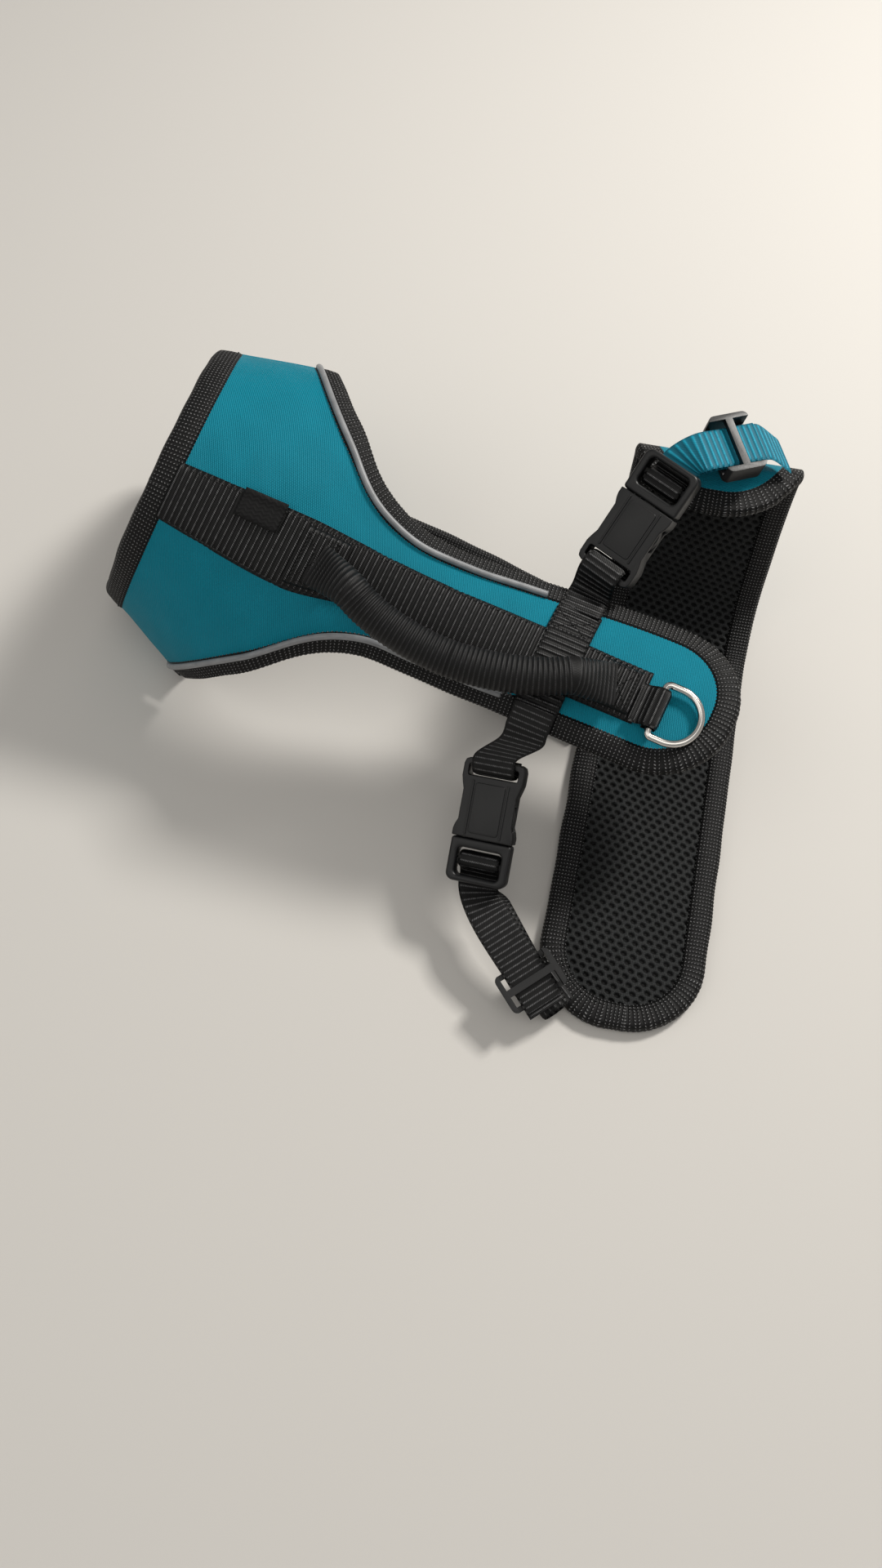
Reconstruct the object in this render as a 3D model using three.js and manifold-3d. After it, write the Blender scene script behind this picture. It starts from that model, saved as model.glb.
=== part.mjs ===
// A padded no-pull dog harness, lying on its belly and rolled a little towards its near side.
// Millimetres. +X runs from the neck to the tail, +Y to the far side, +Z up.
// The origin is on the flat underside of the girth panel, where the harness rests.
import * as THREE from "three";
import { mergeVertices } from "three/addons/utils/BufferGeometryUtils.js";
import Module from "manifold-3d";

const wasm = await Module();
wasm.setup();

// ---- driving dimensions ----
const gap = 0.5; // clearance between sewn layers
const shellThick = 1.6; // outer fabric
const padThick = 5.5; // mesh-lined foam
const bindingWidth = 12; // visible width of the edge tape
const bindingProud = 0.7; // how far the tape stands out from the fabric
const webbingThick = 1.4;
const spineWebbingWidth = 30;
const strapWidth = 24;
const pipingRadius = 1.7;
const pipingShort = 8; // the piping stops this far ahead of the cross strap

const neckRadius = 75;
const shoulderRadius = 66; // the ring is lower and wider at the armholes
const shoulderReach = 99;
const chestRadius = 46;
const neckX = -294; // neck edge at the spine
const neckLean = 0.45; // forward lean of the neck opening, per mm under the spine
const neckSkew = 0.14; // extra lean of the near side
const shoulderBand = 52; // neck edge to armhole
const shoulderHalf = 115; // half of the back panel's reach round the neck
const waistAt = 144;
const waistHalf = 27;
const tongueHalf = 32;
const tongueShift = 7; // the tongue is cut wider on the far side
const backLength = 310;
const tongueRound = 30;

const chestLength = 291;
const chestStripHalf = 30;
const chestNeckHalf = 118;

const girthHalf = 33;
const girthYaw = 14; // degrees
const girthOffset = -13; // centreline offset across the strip
const girthNearReach = 177;
const girthRound = 30;

const handleRadius = 10;
const handleCoreRadius = 6.8;
const handleStart = 103;
const handleEnd = 250;
const handleSag = 18; // how far the handle lies over to the near side
const handleLift = 15.5;
const handleFootSide = -2; // where the handle's ends stand, from the spine
const handleFootLift = 14.4;
const handleTabLength = 20;
const handleTabThick = 2.4;
const crossStrapAt = 226;
const crossNearSide = -25;
const crossFarSide = 29;
const labelAt = 46;
const labelWidth = 23;
const labelLength = 12;
const labelSide = 15; // where the label's far edge lies, from the spine
const labelThick = 0.8;

const buckleWidth = 33;
const buckleThick = 11;
const femaleLength = 42;
const maleLength = 24;
const buckleWall = 3;
const innerHeight = 5.6; // the socket's clear height
const slotLength = 6; // the female's strap slot
const slotWall = 3.2; // behind that slot
const frameThick = 8; // the male's strap frame
const barWidth = 3.4; // the male's strap bar
const runClear = 0.4; // running clearance inside the buckle
const armLength = 23;
const armWidth = 3.6;

const sliderWidth = 33;
const sliderLength = 22;
const sliderBar = 3;

const ringOuterHalf = 16.7;
const ringDepth = 27;
const ringWire = 2; // radius
const ringAside = -4; // where the ring's bar is centred, from the spine
const ringReach = 13; // handle tab to the ring's bar

// ---- materials ----
const look = (color, roughness, metalness = 0) =>
  new THREE.MeshStandardMaterial({ color, roughness, metalness });
const teal = () => look(0x06859b, 0.75);
const mesh3d = () => look(0x0d0d0e, 0.95);
const tape = () => look(0x111112, 0.85);
const webbing = () => look(0x131314, 0.8);
const reflective = () => look(0x75787a, 0.45);
const acetal = () => look(0x0c0d0f, 0.35);
const nickel = () => look(0xc9c6c0, 0.18, 1);

const harness = new THREE.Group();
const addMesh = (name, geometry, material, parent = harness) => {
  const mesh = new THREE.Mesh(geometry, material);
  mesh.name = name;
  parent.add(mesh);
  return mesh;
};

// ---- helpers ----
const rad = THREE.MathUtils.degToRad;
const lerp = THREE.MathUtils.lerp;
const smooth = THREE.MathUtils.smoothstep;
const vec = (x, y, z) => new THREE.Vector3(x, y, z);

// Smooth value between stations [key, value...] at key.
function at(stations, key, column) {
  const last = stations.length - 1;
  if (key <= stations[0][0]) return stations[0][column];
  if (key >= stations[last][0]) return stations[last][column];
  let i = 0;
  while (stations[i + 1][0] < key) i += 1;
  const [a, b] = [stations[i], stations[i + 1]];
  const slope = (p, q) => (stations[q][column] - stations[p][column]) / (stations[q][0] - stations[p][0]);
  const h = b[0] - a[0];
  const u = (key - a[0]) / h;
  const m0 = i > 0 ? slope(i - 1, i + 1) : slope(i, i + 1);
  const m1 = i + 1 < last ? slope(i, i + 2) : slope(i, i + 1);
  return (
    a[column] * (2 * u ** 3 - 3 * u ** 2 + 1) +
    m0 * h * (u ** 3 - 2 * u ** 2 + u) +
    b[column] * (-2 * u ** 3 + 3 * u ** 2) +
    m1 * h * (u ** 3 - u ** 2)
  );
}

// Closed solid between two grids of points, outer[i][j] and inner[i][j]; ring closes j on itself.
function slab(outer, inner, ring = false) {
  const rows = outer.length;
  const cols = outer[0].length;
  const points = [...outer.flat(), ...inner.flat()];
  const id = (i, j, side) => side * rows * cols + i * cols + (j % cols);
  const faces = [];
  const quad = (a, b, c, d) => faces.push(a, b, c, a, c, d);
  const across = ring ? cols : cols - 1;
  for (let i = 0; i < rows - 1; i += 1)
    for (let j = 0; j < across; j += 1) {
      quad(id(i, j, 0), id(i + 1, j, 0), id(i + 1, j + 1, 0), id(i, j + 1, 0));
      quad(id(i, j, 1), id(i, j + 1, 1), id(i + 1, j + 1, 1), id(i + 1, j, 1));
    }
  for (let j = 0; j < across; j += 1) {
    quad(id(0, j, 0), id(0, j + 1, 0), id(0, j + 1, 1), id(0, j, 1));
    quad(id(rows - 1, j, 0), id(rows - 1, j, 1), id(rows - 1, j + 1, 1), id(rows - 1, j + 1, 0));
  }
  if (!ring)
    for (let i = 0; i < rows - 1; i += 1) {
      quad(id(i, 0, 0), id(i, 0, 1), id(i + 1, 0, 1), id(i + 1, 0, 0));
      quad(id(i, cols - 1, 0), id(i + 1, cols - 1, 0), id(i + 1, cols - 1, 1), id(i, cols - 1, 1));
    }
  const geometry = new THREE.BufferGeometry();
  geometry.setAttribute("position", new THREE.Float32BufferAttribute(points.flatMap((p) => p.toArray()), 3));
  geometry.setIndex(faces);
  return facingOut(geometry);
}

function toSolid(geometry) {
  const bare = geometry.clone();
  bare.deleteAttribute("normal");
  bare.deleteAttribute("uv");
  const merged = mergeVertices(bare, 1e-3);
  return new wasm.Manifold(
    new wasm.Mesh({
      numProp: 3,
      vertProperties: new Float32Array(merged.attributes.position.array),
      triVerts: new Uint32Array(merged.index.array),
    }),
  );
}

function toGeometry(solid) {
  const mesh = solid.getMesh();
  const geometry = new THREE.BufferGeometry();
  geometry.setAttribute("position", new THREE.Float32BufferAttribute(mesh.vertProperties, 3));
  geometry.setIndex(Array.from(mesh.triVerts));
  return geometry;
}

// Turns the faces round where they point inwards.
function facingOut(geometry) {
  const p = geometry.attributes.position;
  const index = geometry.index.array;
  const v = [0, 1, 2].map(() => new THREE.Vector3());
  let volume = 0;
  for (let i = 0; i < index.length; i += 3) {
    v.forEach((q, k) => q.fromBufferAttribute(p, index[i + k]));
    volume += v[0].dot(v[1].clone().cross(v[2]));
  }
  if (volume < 0)
    for (let i = 0; i < index.length; i += 3) [index[i + 1], index[i + 2]] = [index[i + 2], index[i + 1]];
  return geometry;
}

const box = (w, l, h, x = 0, y = 0, z = 0) => new THREE.BoxGeometry(w, l, h).translate(x, y, z);
const cut = (body, ...tools) => tools.reduce((solid, tool) => solid.subtract(toSolid(tool)), body);
const join = (...pieces) => pieces.map(toSolid).reduce((a, b) => a.add(b));

// Rectangle with rounded corners, extruded along z and centred on z = 0.
function plate(width, length, height, corner, bevel = 0) {
  const [w, l] = [width / 2 - bevel, length / 2 - bevel];
  const shape = new THREE.Shape();
  shape.moveTo(-w + corner, -l);
  shape.lineTo(w - corner, -l);
  shape.absarc(w - corner, -l + corner, corner, -Math.PI / 2, 0);
  shape.lineTo(w, l - corner);
  shape.absarc(w - corner, l - corner, corner, 0, Math.PI / 2);
  shape.lineTo(-w + corner, l);
  shape.absarc(-w + corner, l - corner, corner, Math.PI / 2, Math.PI);
  shape.lineTo(-w, -l + corner);
  shape.absarc(-w + corner, -l + corner, corner, Math.PI, 1.5 * Math.PI);
  const extruded = new THREE.ExtrudeGeometry(shape, {
    depth: height - 2 * bevel,
    bevelEnabled: bevel > 0,
    bevelThickness: bevel,
    bevelSize: bevel,
    bevelSegments: 1,
    curveSegments: 3,
  });
  return extruded.translate(0, 0, -height / 2 + bevel);
}

// ---- the vest's two curved surfaces ----
// Stations: distance from the neck edge, y, z, radius towards the spine, roll (degrees), radius across.
const backStations = [
  [0, -65, 139.5, neckRadius, 36, neckRadius],
  [82, -61.5, 122, shoulderRadius, 32, shoulderReach],
  [120, -56, 114.5, 65, 28, 85],
  [160, -53, 107, 66, 23, 70],
  [230, -48, 98, 84, 15, 84],
  [320, -45, 91, 140, 8, 140],
];
// The chest panel shares the back panel's ring at the neck, on the opposite side, and is flatter there.
function opposite([s, y, z, radius, roll, reach], own) {
  const through = radius + own;
  const tilt = rad(roll);
  return [s, y + through * Math.sin(tilt), z - through * Math.cos(tilt), own, roll, reach];
}
const chestStations = [
  opposite(backStations[0], neckRadius),
  opposite(backStations[1], chestRadius),
  [140, 12, 8.5, 80, 20, 80],
  [200, 12, 5, 110, 10, 110],
  [300, 6, 1.5, 260, 2, 260],
];

function onArc(stations, s, t, depth, up) {
  const [y, z, radius, roll, reach] = [1, 2, 3, 4, 5].map((column) => at(stations, s, column));
  const tilt = rad(roll);
  const normal = vec(0, -Math.sin(tilt), Math.cos(tilt)).multiplyScalar(up);
  const across = vec(0, Math.cos(tilt), Math.sin(tilt));
  const angle = t / lerp(neckRadius, reach, smooth(s, 82, 160));
  const centre = vec(0, y, z).addScaledVector(normal, -radius);
  const p = centre
    .addScaledVector(normal, (radius - depth) * Math.cos(angle))
    .addScaledVector(across, (reach - depth) * Math.sin(angle));
  const top = vec(0, at(backStations, s, 1), at(backStations, s, 2));
  const topTilt = rad(at(backStations, s, 4));
  const offTop = p.clone().sub(top);
  const below = offTop.y * Math.sin(topTilt) - offTop.z * Math.cos(topTilt);
  const aside = offTop.y * Math.cos(topTilt) + offTop.z * Math.sin(topTilt);
  const hold = 1 - smooth(s, 40, 215);
  const lean = neckLean * below - neckSkew * aside;
  p.x = neckX + s - lean * hold;
  if (up < 0) p.x -= Math.tan(rad(girthYaw)) * (p.y - y) * smooth(s, 150, chestLength);
  if (up < 0) p.x += chestForward(s);
  return p;
}
// The chest strip starts further forward than the spine, so it is stretched to reach the girth panel.
function chestForward(s) {
  return lerp(0, girthEdgeX() - (neckX + chestLength), smooth(s, 40, 215));
}
function girthEdgeX() {
  const yaw = rad(girthYaw);
  const across = girthOffset - girthHalf - bindingWidth - gap;
  return across / Math.cos(yaw) - chestStations[chestStations.length - 1][1] * Math.tan(yaw);
}
const onBack = (s, t, depth = 0) => onArc(backStations, s, t, depth, 1);
const onChest = (s, t, depth = 0) => onArc(chestStations, s, t, depth, -1);

// Half-width of the back panel's fabric, and its edge run as [s, t] pairs on one side.
const armholeLength = waistAt - shoulderBand;
function backEdge(side) {
  const run = [];
  const steps = 9;
  for (let i = 0; i <= steps; i += 1) {
    const a = (i / steps) * (Math.PI / 2);
    const s = waistAt - armholeLength * Math.cos(a);
    run.push([s, side * (shoulderHalf - (shoulderHalf - waistHalf) * Math.sin(a))]);
  }
  for (const s of [160, 178, 196, 214, 232, 250, 266, backLength - tongueRound]) {
    const f = smooth(s, waistAt, backLength - tongueRound);
    run.push([s, side * lerp(waistHalf, tongueHalf, f) + tongueShift * f]);
  }
  for (let i = 1; i <= 4; i += 1) {
    const a = (i / 4.6) * (Math.PI / 2);
    const s = backLength - tongueRound + tongueRound * Math.sin(a);
    run.push([s, side * (tongueHalf - tongueRound + tongueRound * Math.cos(a)) + tongueShift]);
  }
  return run;
}
function chestEdge(side) {
  const run = [];
  const steps = 7;
  for (let i = 0; i <= steps; i += 1) {
    const a = (i / steps) * (Math.PI / 2);
    const s = waistAt - armholeLength * Math.cos(a);
    run.push([s, side * (chestNeckHalf - (chestNeckHalf - chestStripHalf) * Math.sin(a))]);
  }
  for (const s of [190, 225, 260, chestLength]) run.push([s, side * chestStripHalf]);
  return run;
}
const neckStart = bindingWidth + gap;
const padTop = shellThick + gap;

// Layer of a panel between two depths, inside its edge runs.
function panelLayer(surface, edges, cols, depthOut, depthIn) {
  const [far, near] = edges;
  const rows = [[neckStart, far[0][1], near[0][1]], [34, far[0][1], near[0][1]]];
  far.forEach(([s, t], i) => rows.push([s, t, near[i][1]]));
  const grid = (depth) =>
    rows.map(([s, tFar, tNear]) =>
      Array.from({ length: cols + 1 }, (_, j) => surface(s, lerp(tFar, tNear, j / cols), depth)),
    );
  return slab(grid(depthOut), grid(depthIn));
}

// Tape along an edge run, folded round the whole thickness.
// turn is -1 where the fabric lies on the run's left.
function edgeTape(surface, run, turn = 1) {
  const outward = run.map((_, i) => {
    const [a, b] = [run[Math.max(i - 1, 0)], run[Math.min(i + 1, run.length - 1)]];
    const d = new THREE.Vector2(b[0] - a[0], b[1] - a[1]).normalize();
    return new THREE.Vector2(-d.y, d.x).multiplyScalar(turn);
  });
  const row = (depth) =>
    run.map(([s, t], i) =>
      [gap, bindingWidth].map((w) => surface(s + outward[i].x * w, t + outward[i].y * w, depth)),
    );
  return slab(row(-bindingProud), row(padTop + padThick + bindingProud));
}

const backEdges = [backEdge(1), backEdge(-1)];
const chestEdges = [chestEdge(1), chestEdge(-1)];
addMesh("back_panel_shell", panelLayer(onBack, backEdges, 14, 0, shellThick), teal());
addMesh("back_panel_lining", panelLayer(onBack, backEdges, 14, padTop, padTop + padThick), mesh3d());
addMesh("chest_panel_shell", panelLayer(onChest, chestEdges, 14, 0, shellThick), teal());
addMesh("chest_panel_lining", panelLayer(onChest, chestEdges, 14, padTop, padTop + padThick), mesh3d());

// Edge tape: the back panel's runs round the tongue from one armhole to the other.
const tongueTip = [[backLength, tongueHalf - tongueRound + tongueShift], [backLength, tongueShift - 2]];
const backRun = [...backEdges[0], ...tongueTip, ...[...backEdges[1]].reverse()];
addMesh("back_panel_binding", edgeTape(onBack, backRun), tape());
addMesh("chest_binding_far", edgeTape(onChest, chestEdges[0]), tape());
addMesh("chest_binding_near", edgeTape(onChest, chestEdges[1], -1), tape());

// Neck tape: one closed ring round the back and chest panels' front edge.
{
  const turns = 44;
  const ringAt = (s, depth) =>
    Array.from({ length: turns }, (_, j) => onBack(s, (j / turns) * 2 * Math.PI * neckRadius, depth));
  const outer = [0, bindingWidth].map((s) => ringAt(s, -bindingProud));
  const inner = [0, bindingWidth].map((s) => ringAt(s, padTop + padThick + bindingProud));
  addMesh("neck_binding", slab(outer, inner, true), tape());
}

// Reflective piping lies on the fabric along each armhole edge.
for (const [name, edge] of [["far", backEdges[0]], ["near", backEdges[1]]]) {
  const pipingEnd = crossStrapAt - strapWidth / 2 - pipingShort;
  const lift = pipingRadius + bindingProud + gap;
  const path = edge.filter(([s]) => s < pipingEnd).map(([s, t]) => onBack(s, t, -lift));
  const disc = new THREE.Shape().absarc(0, 0, pipingRadius, 0, 2 * Math.PI);
  const tube = new THREE.ExtrudeGeometry(disc, {
    steps: 24,
    curveSegments: 4,
    extrudePath: new THREE.CatmullRomCurve3(path),
  });
  addMesh(`${name}_reflective_piping`, tube, reflective());
}

// ---- webbing laid on the back panel ----
// Layer 1 is next to the fabric, layer 2 lies on layer 1.
const layerDepth = (layer) => -(gap + (layer - 1) * (webbingThick + gap));
function laidStrip(sList, tList, layer, thick = webbingThick) {
  const grid = (depth) => sList.map((s) => tList.map((t) => onBack(s, t, depth)));
  const low = layerDepth(layer);
  return slab(grid(low - thick), grid(low));
}
const steps = (from, to, count) => Array.from({ length: count + 1 }, (_, i) => lerp(from, to, i / count));
const halfSpine = spineWebbingWidth / 2;
const [frontTabFrom, rearTabTo] = [handleStart - handleTabLength, handleEnd + handleTabLength];
addMesh(
  "spine_webbing",
  laidStrip(steps(neckStart + 2, rearTabTo + 4, 18), steps(-halfSpine, halfSpine, 4), 1),
  webbing(),
);
const labelStrip = laidStrip(
  steps(labelAt, labelAt + labelWidth, 1),
  steps(labelSide - labelLength, labelSide, 2),
  2,
  labelThick,
);
addMesh("side_label", labelStrip, tape());
const tabWidths = steps(-strapWidth / 2, strapWidth / 2, 2);
for (const [end, from] of [["front", frontTabFrom], ["rear", handleEnd]])
  addMesh(
    `handle_${end}_tab`,
    laidStrip(steps(from, from + handleTabLength, 2), tabWidths, 2, handleTabThick),
    webbing(),
  );
const crossFrom = crossStrapAt - strapWidth / 2;
addMesh(
  "cross_strap",
  laidStrip(steps(crossFrom, crossFrom + strapWidth, 2), steps(crossNearSide, crossFarSide, 6), 2),
  webbing(),
);

// ---- carrying handle: a padded tube of webbing over a foam core ----
const handlePoints = [
  onBack(handleStart + gap + 1, handleFootSide, -handleFootLift),
  onBack(lerp(handleStart, handleEnd, 0.22), -handleSag * 0.75, -handleLift),
  onBack(lerp(handleStart, handleEnd, 0.5), -handleSag, -handleLift),
  onBack(lerp(handleStart, handleEnd, 0.78), -handleSag * 0.75, -handleLift),
  onBack(handleEnd - gap - 1, handleFootSide, -handleFootLift),
];
function tubeAlong(points, outer, inner, count) {
  const shape = new THREE.Shape().absarc(0, 0, outer, 0, 2 * Math.PI);
  if (inner) shape.holes.push(new THREE.Path().absarc(0, 0, inner, 0, 2 * Math.PI, true));
  const path = new THREE.CatmullRomCurve3(points);
  return new THREE.ExtrudeGeometry(shape, { steps: count, curveSegments: 6, extrudePath: path });
}
addMesh("handle_sleeve", tubeAlong(handlePoints, handleRadius, handleCoreRadius + gap, 14), webbing());
addMesh("handle_core", tubeAlong(handlePoints, handleCoreRadius, 0, 14), mesh3d());

// ---- D-ring and its tab ----
const barAt = rearTabTo + ringReach;
const barDepth = -(2 * gap + webbingThick + ringWire);
const ringSide = onBack(barAt, ringAside + 6, 0).sub(onBack(barAt, ringAside - 6, 0)).normalize();
{
  const turn = ringWire + gap + 0.2 + webbingThick / 2;
  const under = barDepth + turn;
  const path = [
    [rearTabTo + 1.5, layerDepth(2) - 1],
    [barAt - 7.5, layerDepth(2) - 1.2],
    [barAt - 0.8 * turn, barDepth - 0.8 * turn],
    [barAt, barDepth - turn],
    [barAt + 0.75 * turn, barDepth - 0.75 * turn],
    [barAt + turn, barDepth],
    [barAt + 0.75 * turn, barDepth + 0.75 * turn],
    [barAt, under],
    [barAt - turn - 1, under + 0.1],
  ].map(([s, depth]) => onBack(s, ringAside, depth));
  const loop = strapAlong(path, path.map(() => ringSide), strapWidth - 2, webbingThick);
  addMesh("d_ring_tab", loop, webbing());
}
{
  // Half-round bow with a straight bar, lying on the tongue.
  const half = ringOuterHalf - ringWire;
  const depth = ringDepth - 2 * ringWire - half;
  const outline = [];
  const seg = 12;
  outline.push(vec(half, 0, 0));
  for (let i = 0; i <= seg; i += 1) {
    const a = (i / seg) * Math.PI;
    outline.push(vec(half * Math.cos(a), depth + half * Math.sin(a), 0));
  }
  outline.push(vec(-half, 0, 0));
  // One round-section loop, mitred at each corner of the outline.
  const sides = 8;
  const rings = outline.map((p, i) => {
    const count = outline.length;
    const prev = outline[(i + count - 1) % count];
    const next = outline[(i + 1) % count];
    const out = next.clone().sub(prev).normalize().cross(vec(0, 0, 1));
    return Array.from({ length: sides }, (_, k) => {
      const a = (k / sides) * 2 * Math.PI;
      return p
        .clone()
        .addScaledVector(out, ringWire * Math.cos(a))
        .add(vec(0, 0, ringWire * Math.sin(a)));
    });
  });
  const faces = [];
  const points = rings.flat();
  rings.forEach((_, i) => {
    const n = (i + 1) % rings.length;
    for (let k = 0; k < sides; k += 1) {
      const m = (k + 1) % sides;
      const [a, b, c, d] = [i * sides + k, n * sides + k, n * sides + m, i * sides + m];
      faces.push(a, b, c, a, c, d);
    }
  });
  const geometry = new THREE.BufferGeometry();
  geometry.setAttribute("position", new THREE.Float32BufferAttribute(points.flatMap((p) => p.toArray()), 3));
  geometry.setIndex(faces);
  const ring = addMesh("d_ring", facingOut(geometry), nickel());
  const seat = onBack(barAt, ringAside, barDepth);
  const tip = onBack(barAt + 22, ringAside, barDepth + 0.6);
  const along = tip.clone().sub(seat).normalize();
  const across = ringSide.clone().addScaledVector(along, -along.dot(ringSide)).normalize();
  const basis = new THREE.Matrix4().makeBasis(across, along, across.clone().cross(along));
  ring.quaternion.setFromRotationMatrix(basis);
  ring.position.copy(seat);
}

// ---- girth panel: a straight strip bent up into a wall on the far side ----
const girthProfile = new THREE.CatmullRomCurve3(
  [
    [22, 0], [52, 5], [76, 24], [91, 60], [100, 98], [99, 122], [86, 133], [70, 130],
  ].map(([a, z]) => vec(a, 0, z)),
);
const flatRun = girthNearReach + 22;
const bentRun = girthProfile.getLength();
const girthLength = flatRun + bentRun;
const yaw = rad(girthYaw);
const girthAlong = vec(-Math.sin(yaw), Math.cos(yaw), 0);
const girthAcross = vec(Math.cos(yaw), Math.sin(yaw), 0);
// Point l along the panel and w across it, depth inside the outer face, which lies on z = 0.
function onGirth(l, w, depth = 0) {
  let [a, z, na, nz] = [l - girthNearReach, 0, 0, -1];
  if (l > flatRun) {
    const u = Math.min((l - flatRun) / bentRun, 1);
    const p = girthProfile.getPointAt(u);
    const tangent = girthProfile.getTangentAt(u);
    const past = Math.max(l - girthLength, 0);
    [a, z] = [p.x + tangent.x * past, p.z + tangent.z * past];
    [na, nz] = [tangent.z, -tangent.x];
  }
  a -= na * depth;
  z -= nz * depth;
  return girthAlong
    .clone()
    .multiplyScalar(a)
    .addScaledVector(girthAcross, w + girthOffset)
    .add(vec(0, 0, z));
}
function girthRows() {
  const rows = [];
  for (let i = 0; i <= 5; i += 1) {
    const a = ((i + 0.4) / 5.4) * (Math.PI / 2);
    rows.push([girthRound * (1 - Math.cos(a)), girthHalf - girthRound + girthRound * Math.sin(a)]);
  }
  for (const l of [80, 140, flatRun]) rows.push([l, girthHalf]);
  const bends = 13;
  for (let i = 1; i < bends; i += 1)
    rows.push([lerp(flatRun, girthLength - girthRound, i / bends), girthHalf]);
  for (let i = 5; i >= 0; i -= 1) {
    const a = ((i + 0.4) / 5.4) * (Math.PI / 2);
    rows.push([
      girthLength - girthRound * (1 - Math.cos(a)),
      girthHalf - girthRound + girthRound * Math.sin(a),
    ]);
  }
  return rows;
}
function girthLayer(depthOut, depthIn) {
  const grid = (depth) => girthRows().map(([l, w]) => [-w, 0, w].map((x) => onGirth(l, x, depth)));
  return slab(grid(depthOut), grid(depthIn));
}
addMesh("girth_panel_shell", girthLayer(0, shellThick), teal());
addMesh("girth_panel_lining", girthLayer(padTop, padTop + padThick), mesh3d());
{
  const rows = girthRows();
  const loop = [...rows.map(([l, w]) => [l, w]), ...[...rows].reverse().map(([l, w]) => [l, -w])];
  const grid = (depth) =>
    [gap + 0.3, bindingWidth].map((out) =>
      loop.map(([l, w], i) => {
        const a = loop[(i + loop.length - 1) % loop.length];
        const b = loop[(i + 1) % loop.length];
        const d = new THREE.Vector2(b[0] - a[0], b[1] - a[1]).normalize();
        return onGirth(l - d.y * out, w + d.x * out, depth);
      }),
    );
  addMesh("girth_binding", slab(grid(0), grid(padTop + padThick + bindingProud), true), tape());
}

// ---- straps and buckles ----
// Closed flat strap through points, its width along one direction for each point.
function strapAlong(points, widthDirs, width, thick, perSpan = 4) {
  const path = new THREE.CatmullRomCurve3(points, false, "centripetal");
  const spans = points.length - 1;
  const count = spans * perSpan;
  const outer = [];
  const inner = [];
  for (let i = 0; i <= count; i += 1) {
    const p = path.getPoint(i / count);
    const t = path.getTangent(i / count);
    const k = Math.min(i / perSpan, spans - 0.001);
    const w = widthDirs[Math.floor(k)].clone().lerp(widthDirs[Math.floor(k) + 1], k % 1).normalize();
    const n = t.clone().cross(w).normalize();
    const corner = (e, side) =>
      p.clone().addScaledVector(w, (e * width) / 2).addScaledVector(n, (side * thick) / 2);
    const pair = (side) => [corner(-1, side), corner(1, side)];
    outer.push(pair(1));
    inner.push(pair(-1));
  }
  return slab(outer, inner);
}

// Buckle's own frame: x across, y from the female strap end to the male strap end, z out of the face.
const seam = femaleLength - (femaleLength + maleLength) / 2; // the parting line, from the centre
const femaleEnd = seam - femaleLength;
const maleEnd = seam + maleLength;
const innerWidth = buckleWidth - 2 * buckleWall;
const mouthDepth = armLength + 3;
const slotY = femaleEnd + slotWall + slotLength / 2;

function femaleSolid() {
  const middle = (seam + femaleEnd) / 2;
  const body = toSolid(plate(buckleWidth, femaleLength, buckleThick, 4, 1).translate(0, middle, 0));
  return cut(
    body,
    box(innerWidth, mouthDepth + 1, innerHeight, 0, seam - mouthDepth / 2 + 0.5, 0),
    box(innerWidth, slotLength, buckleThick + 2, 0, slotY, 0),
    box(buckleWidth + 2, 13, innerHeight, 0, seam - 13.5, 0),
  );
}
function maleSolid() {
  const middle = (seam + maleEnd) / 2 + 0.2;
  const body = toSolid(plate(buckleWidth, maleLength - 0.4, frameThick, 3.5, 1).translate(0, middle, 0));
  const window = maleLength - 9;
  const windowAt = maleEnd - 3 - window / 2;
  const framed = cut(body, box(innerWidth, window, frameThick + 2, 0, windowAt, 0));
  return framed
    .add(toSolid(box(innerWidth + 2, barWidth, 2.6, 0, windowAt, -1.5)))
    .add(toSolid(box(6, armLength - 1, innerHeight - 2 * runClear, 0, seam - armLength / 2 + 1, 0)));
}
function armSolid(side) {
  const x = side * (innerWidth / 2 - runClear - armWidth / 2);
  const tall = innerHeight - 2 * runClear;
  const shaft = box(armWidth, armLength - 8, tall, x, seam - (armLength - 8) / 2 - 0.2, 0);
  const head = box(armWidth + 3, 8.5, tall, x - side * 1.5, seam - armLength + 3.8, 0);
  return join(shaft, head);
}
// A ladder slider: the strap runs over the side bars and under the centre bar.
const doubled = 2 * webbingThick + gap;
function sliderSolid() {
  const tall = doubled + 2 * gap + 2 * sliderBar;
  const high = doubled / 2 + gap + sliderBar / 2;
  const ends = [-1, 1].map((e) =>
    box(sliderBar, sliderLength, tall, (e * (sliderWidth - sliderBar)) / 2, 0, 0));
  const bars = [-1, 1].map((e) =>
    box(sliderWidth, sliderBar, sliderBar, 0, (e * (sliderLength - sliderBar)) / 2, -high));
  return join(ends[0], ends[1], bars[0], bars[1], box(sliderWidth, sliderBar + 1, sliderBar, 0, 0, high));
}

// Frame with y along a to b and z as near to the given normal as it can be.
function frameFrom(a, b, facing) {
  const y = b.clone().sub(a).normalize();
  const z = facing.clone().addScaledVector(y, -facing.dot(y)).normalize();
  const x = y.clone().cross(z);
  const matrix = new THREE.Matrix4().makeBasis(x, y, z);
  return matrix.setPosition(a.clone().add(b).multiplyScalar(0.5));
}
const place = (solid, matrix) => toGeometry(solid).applyMatrix4(matrix);

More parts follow.
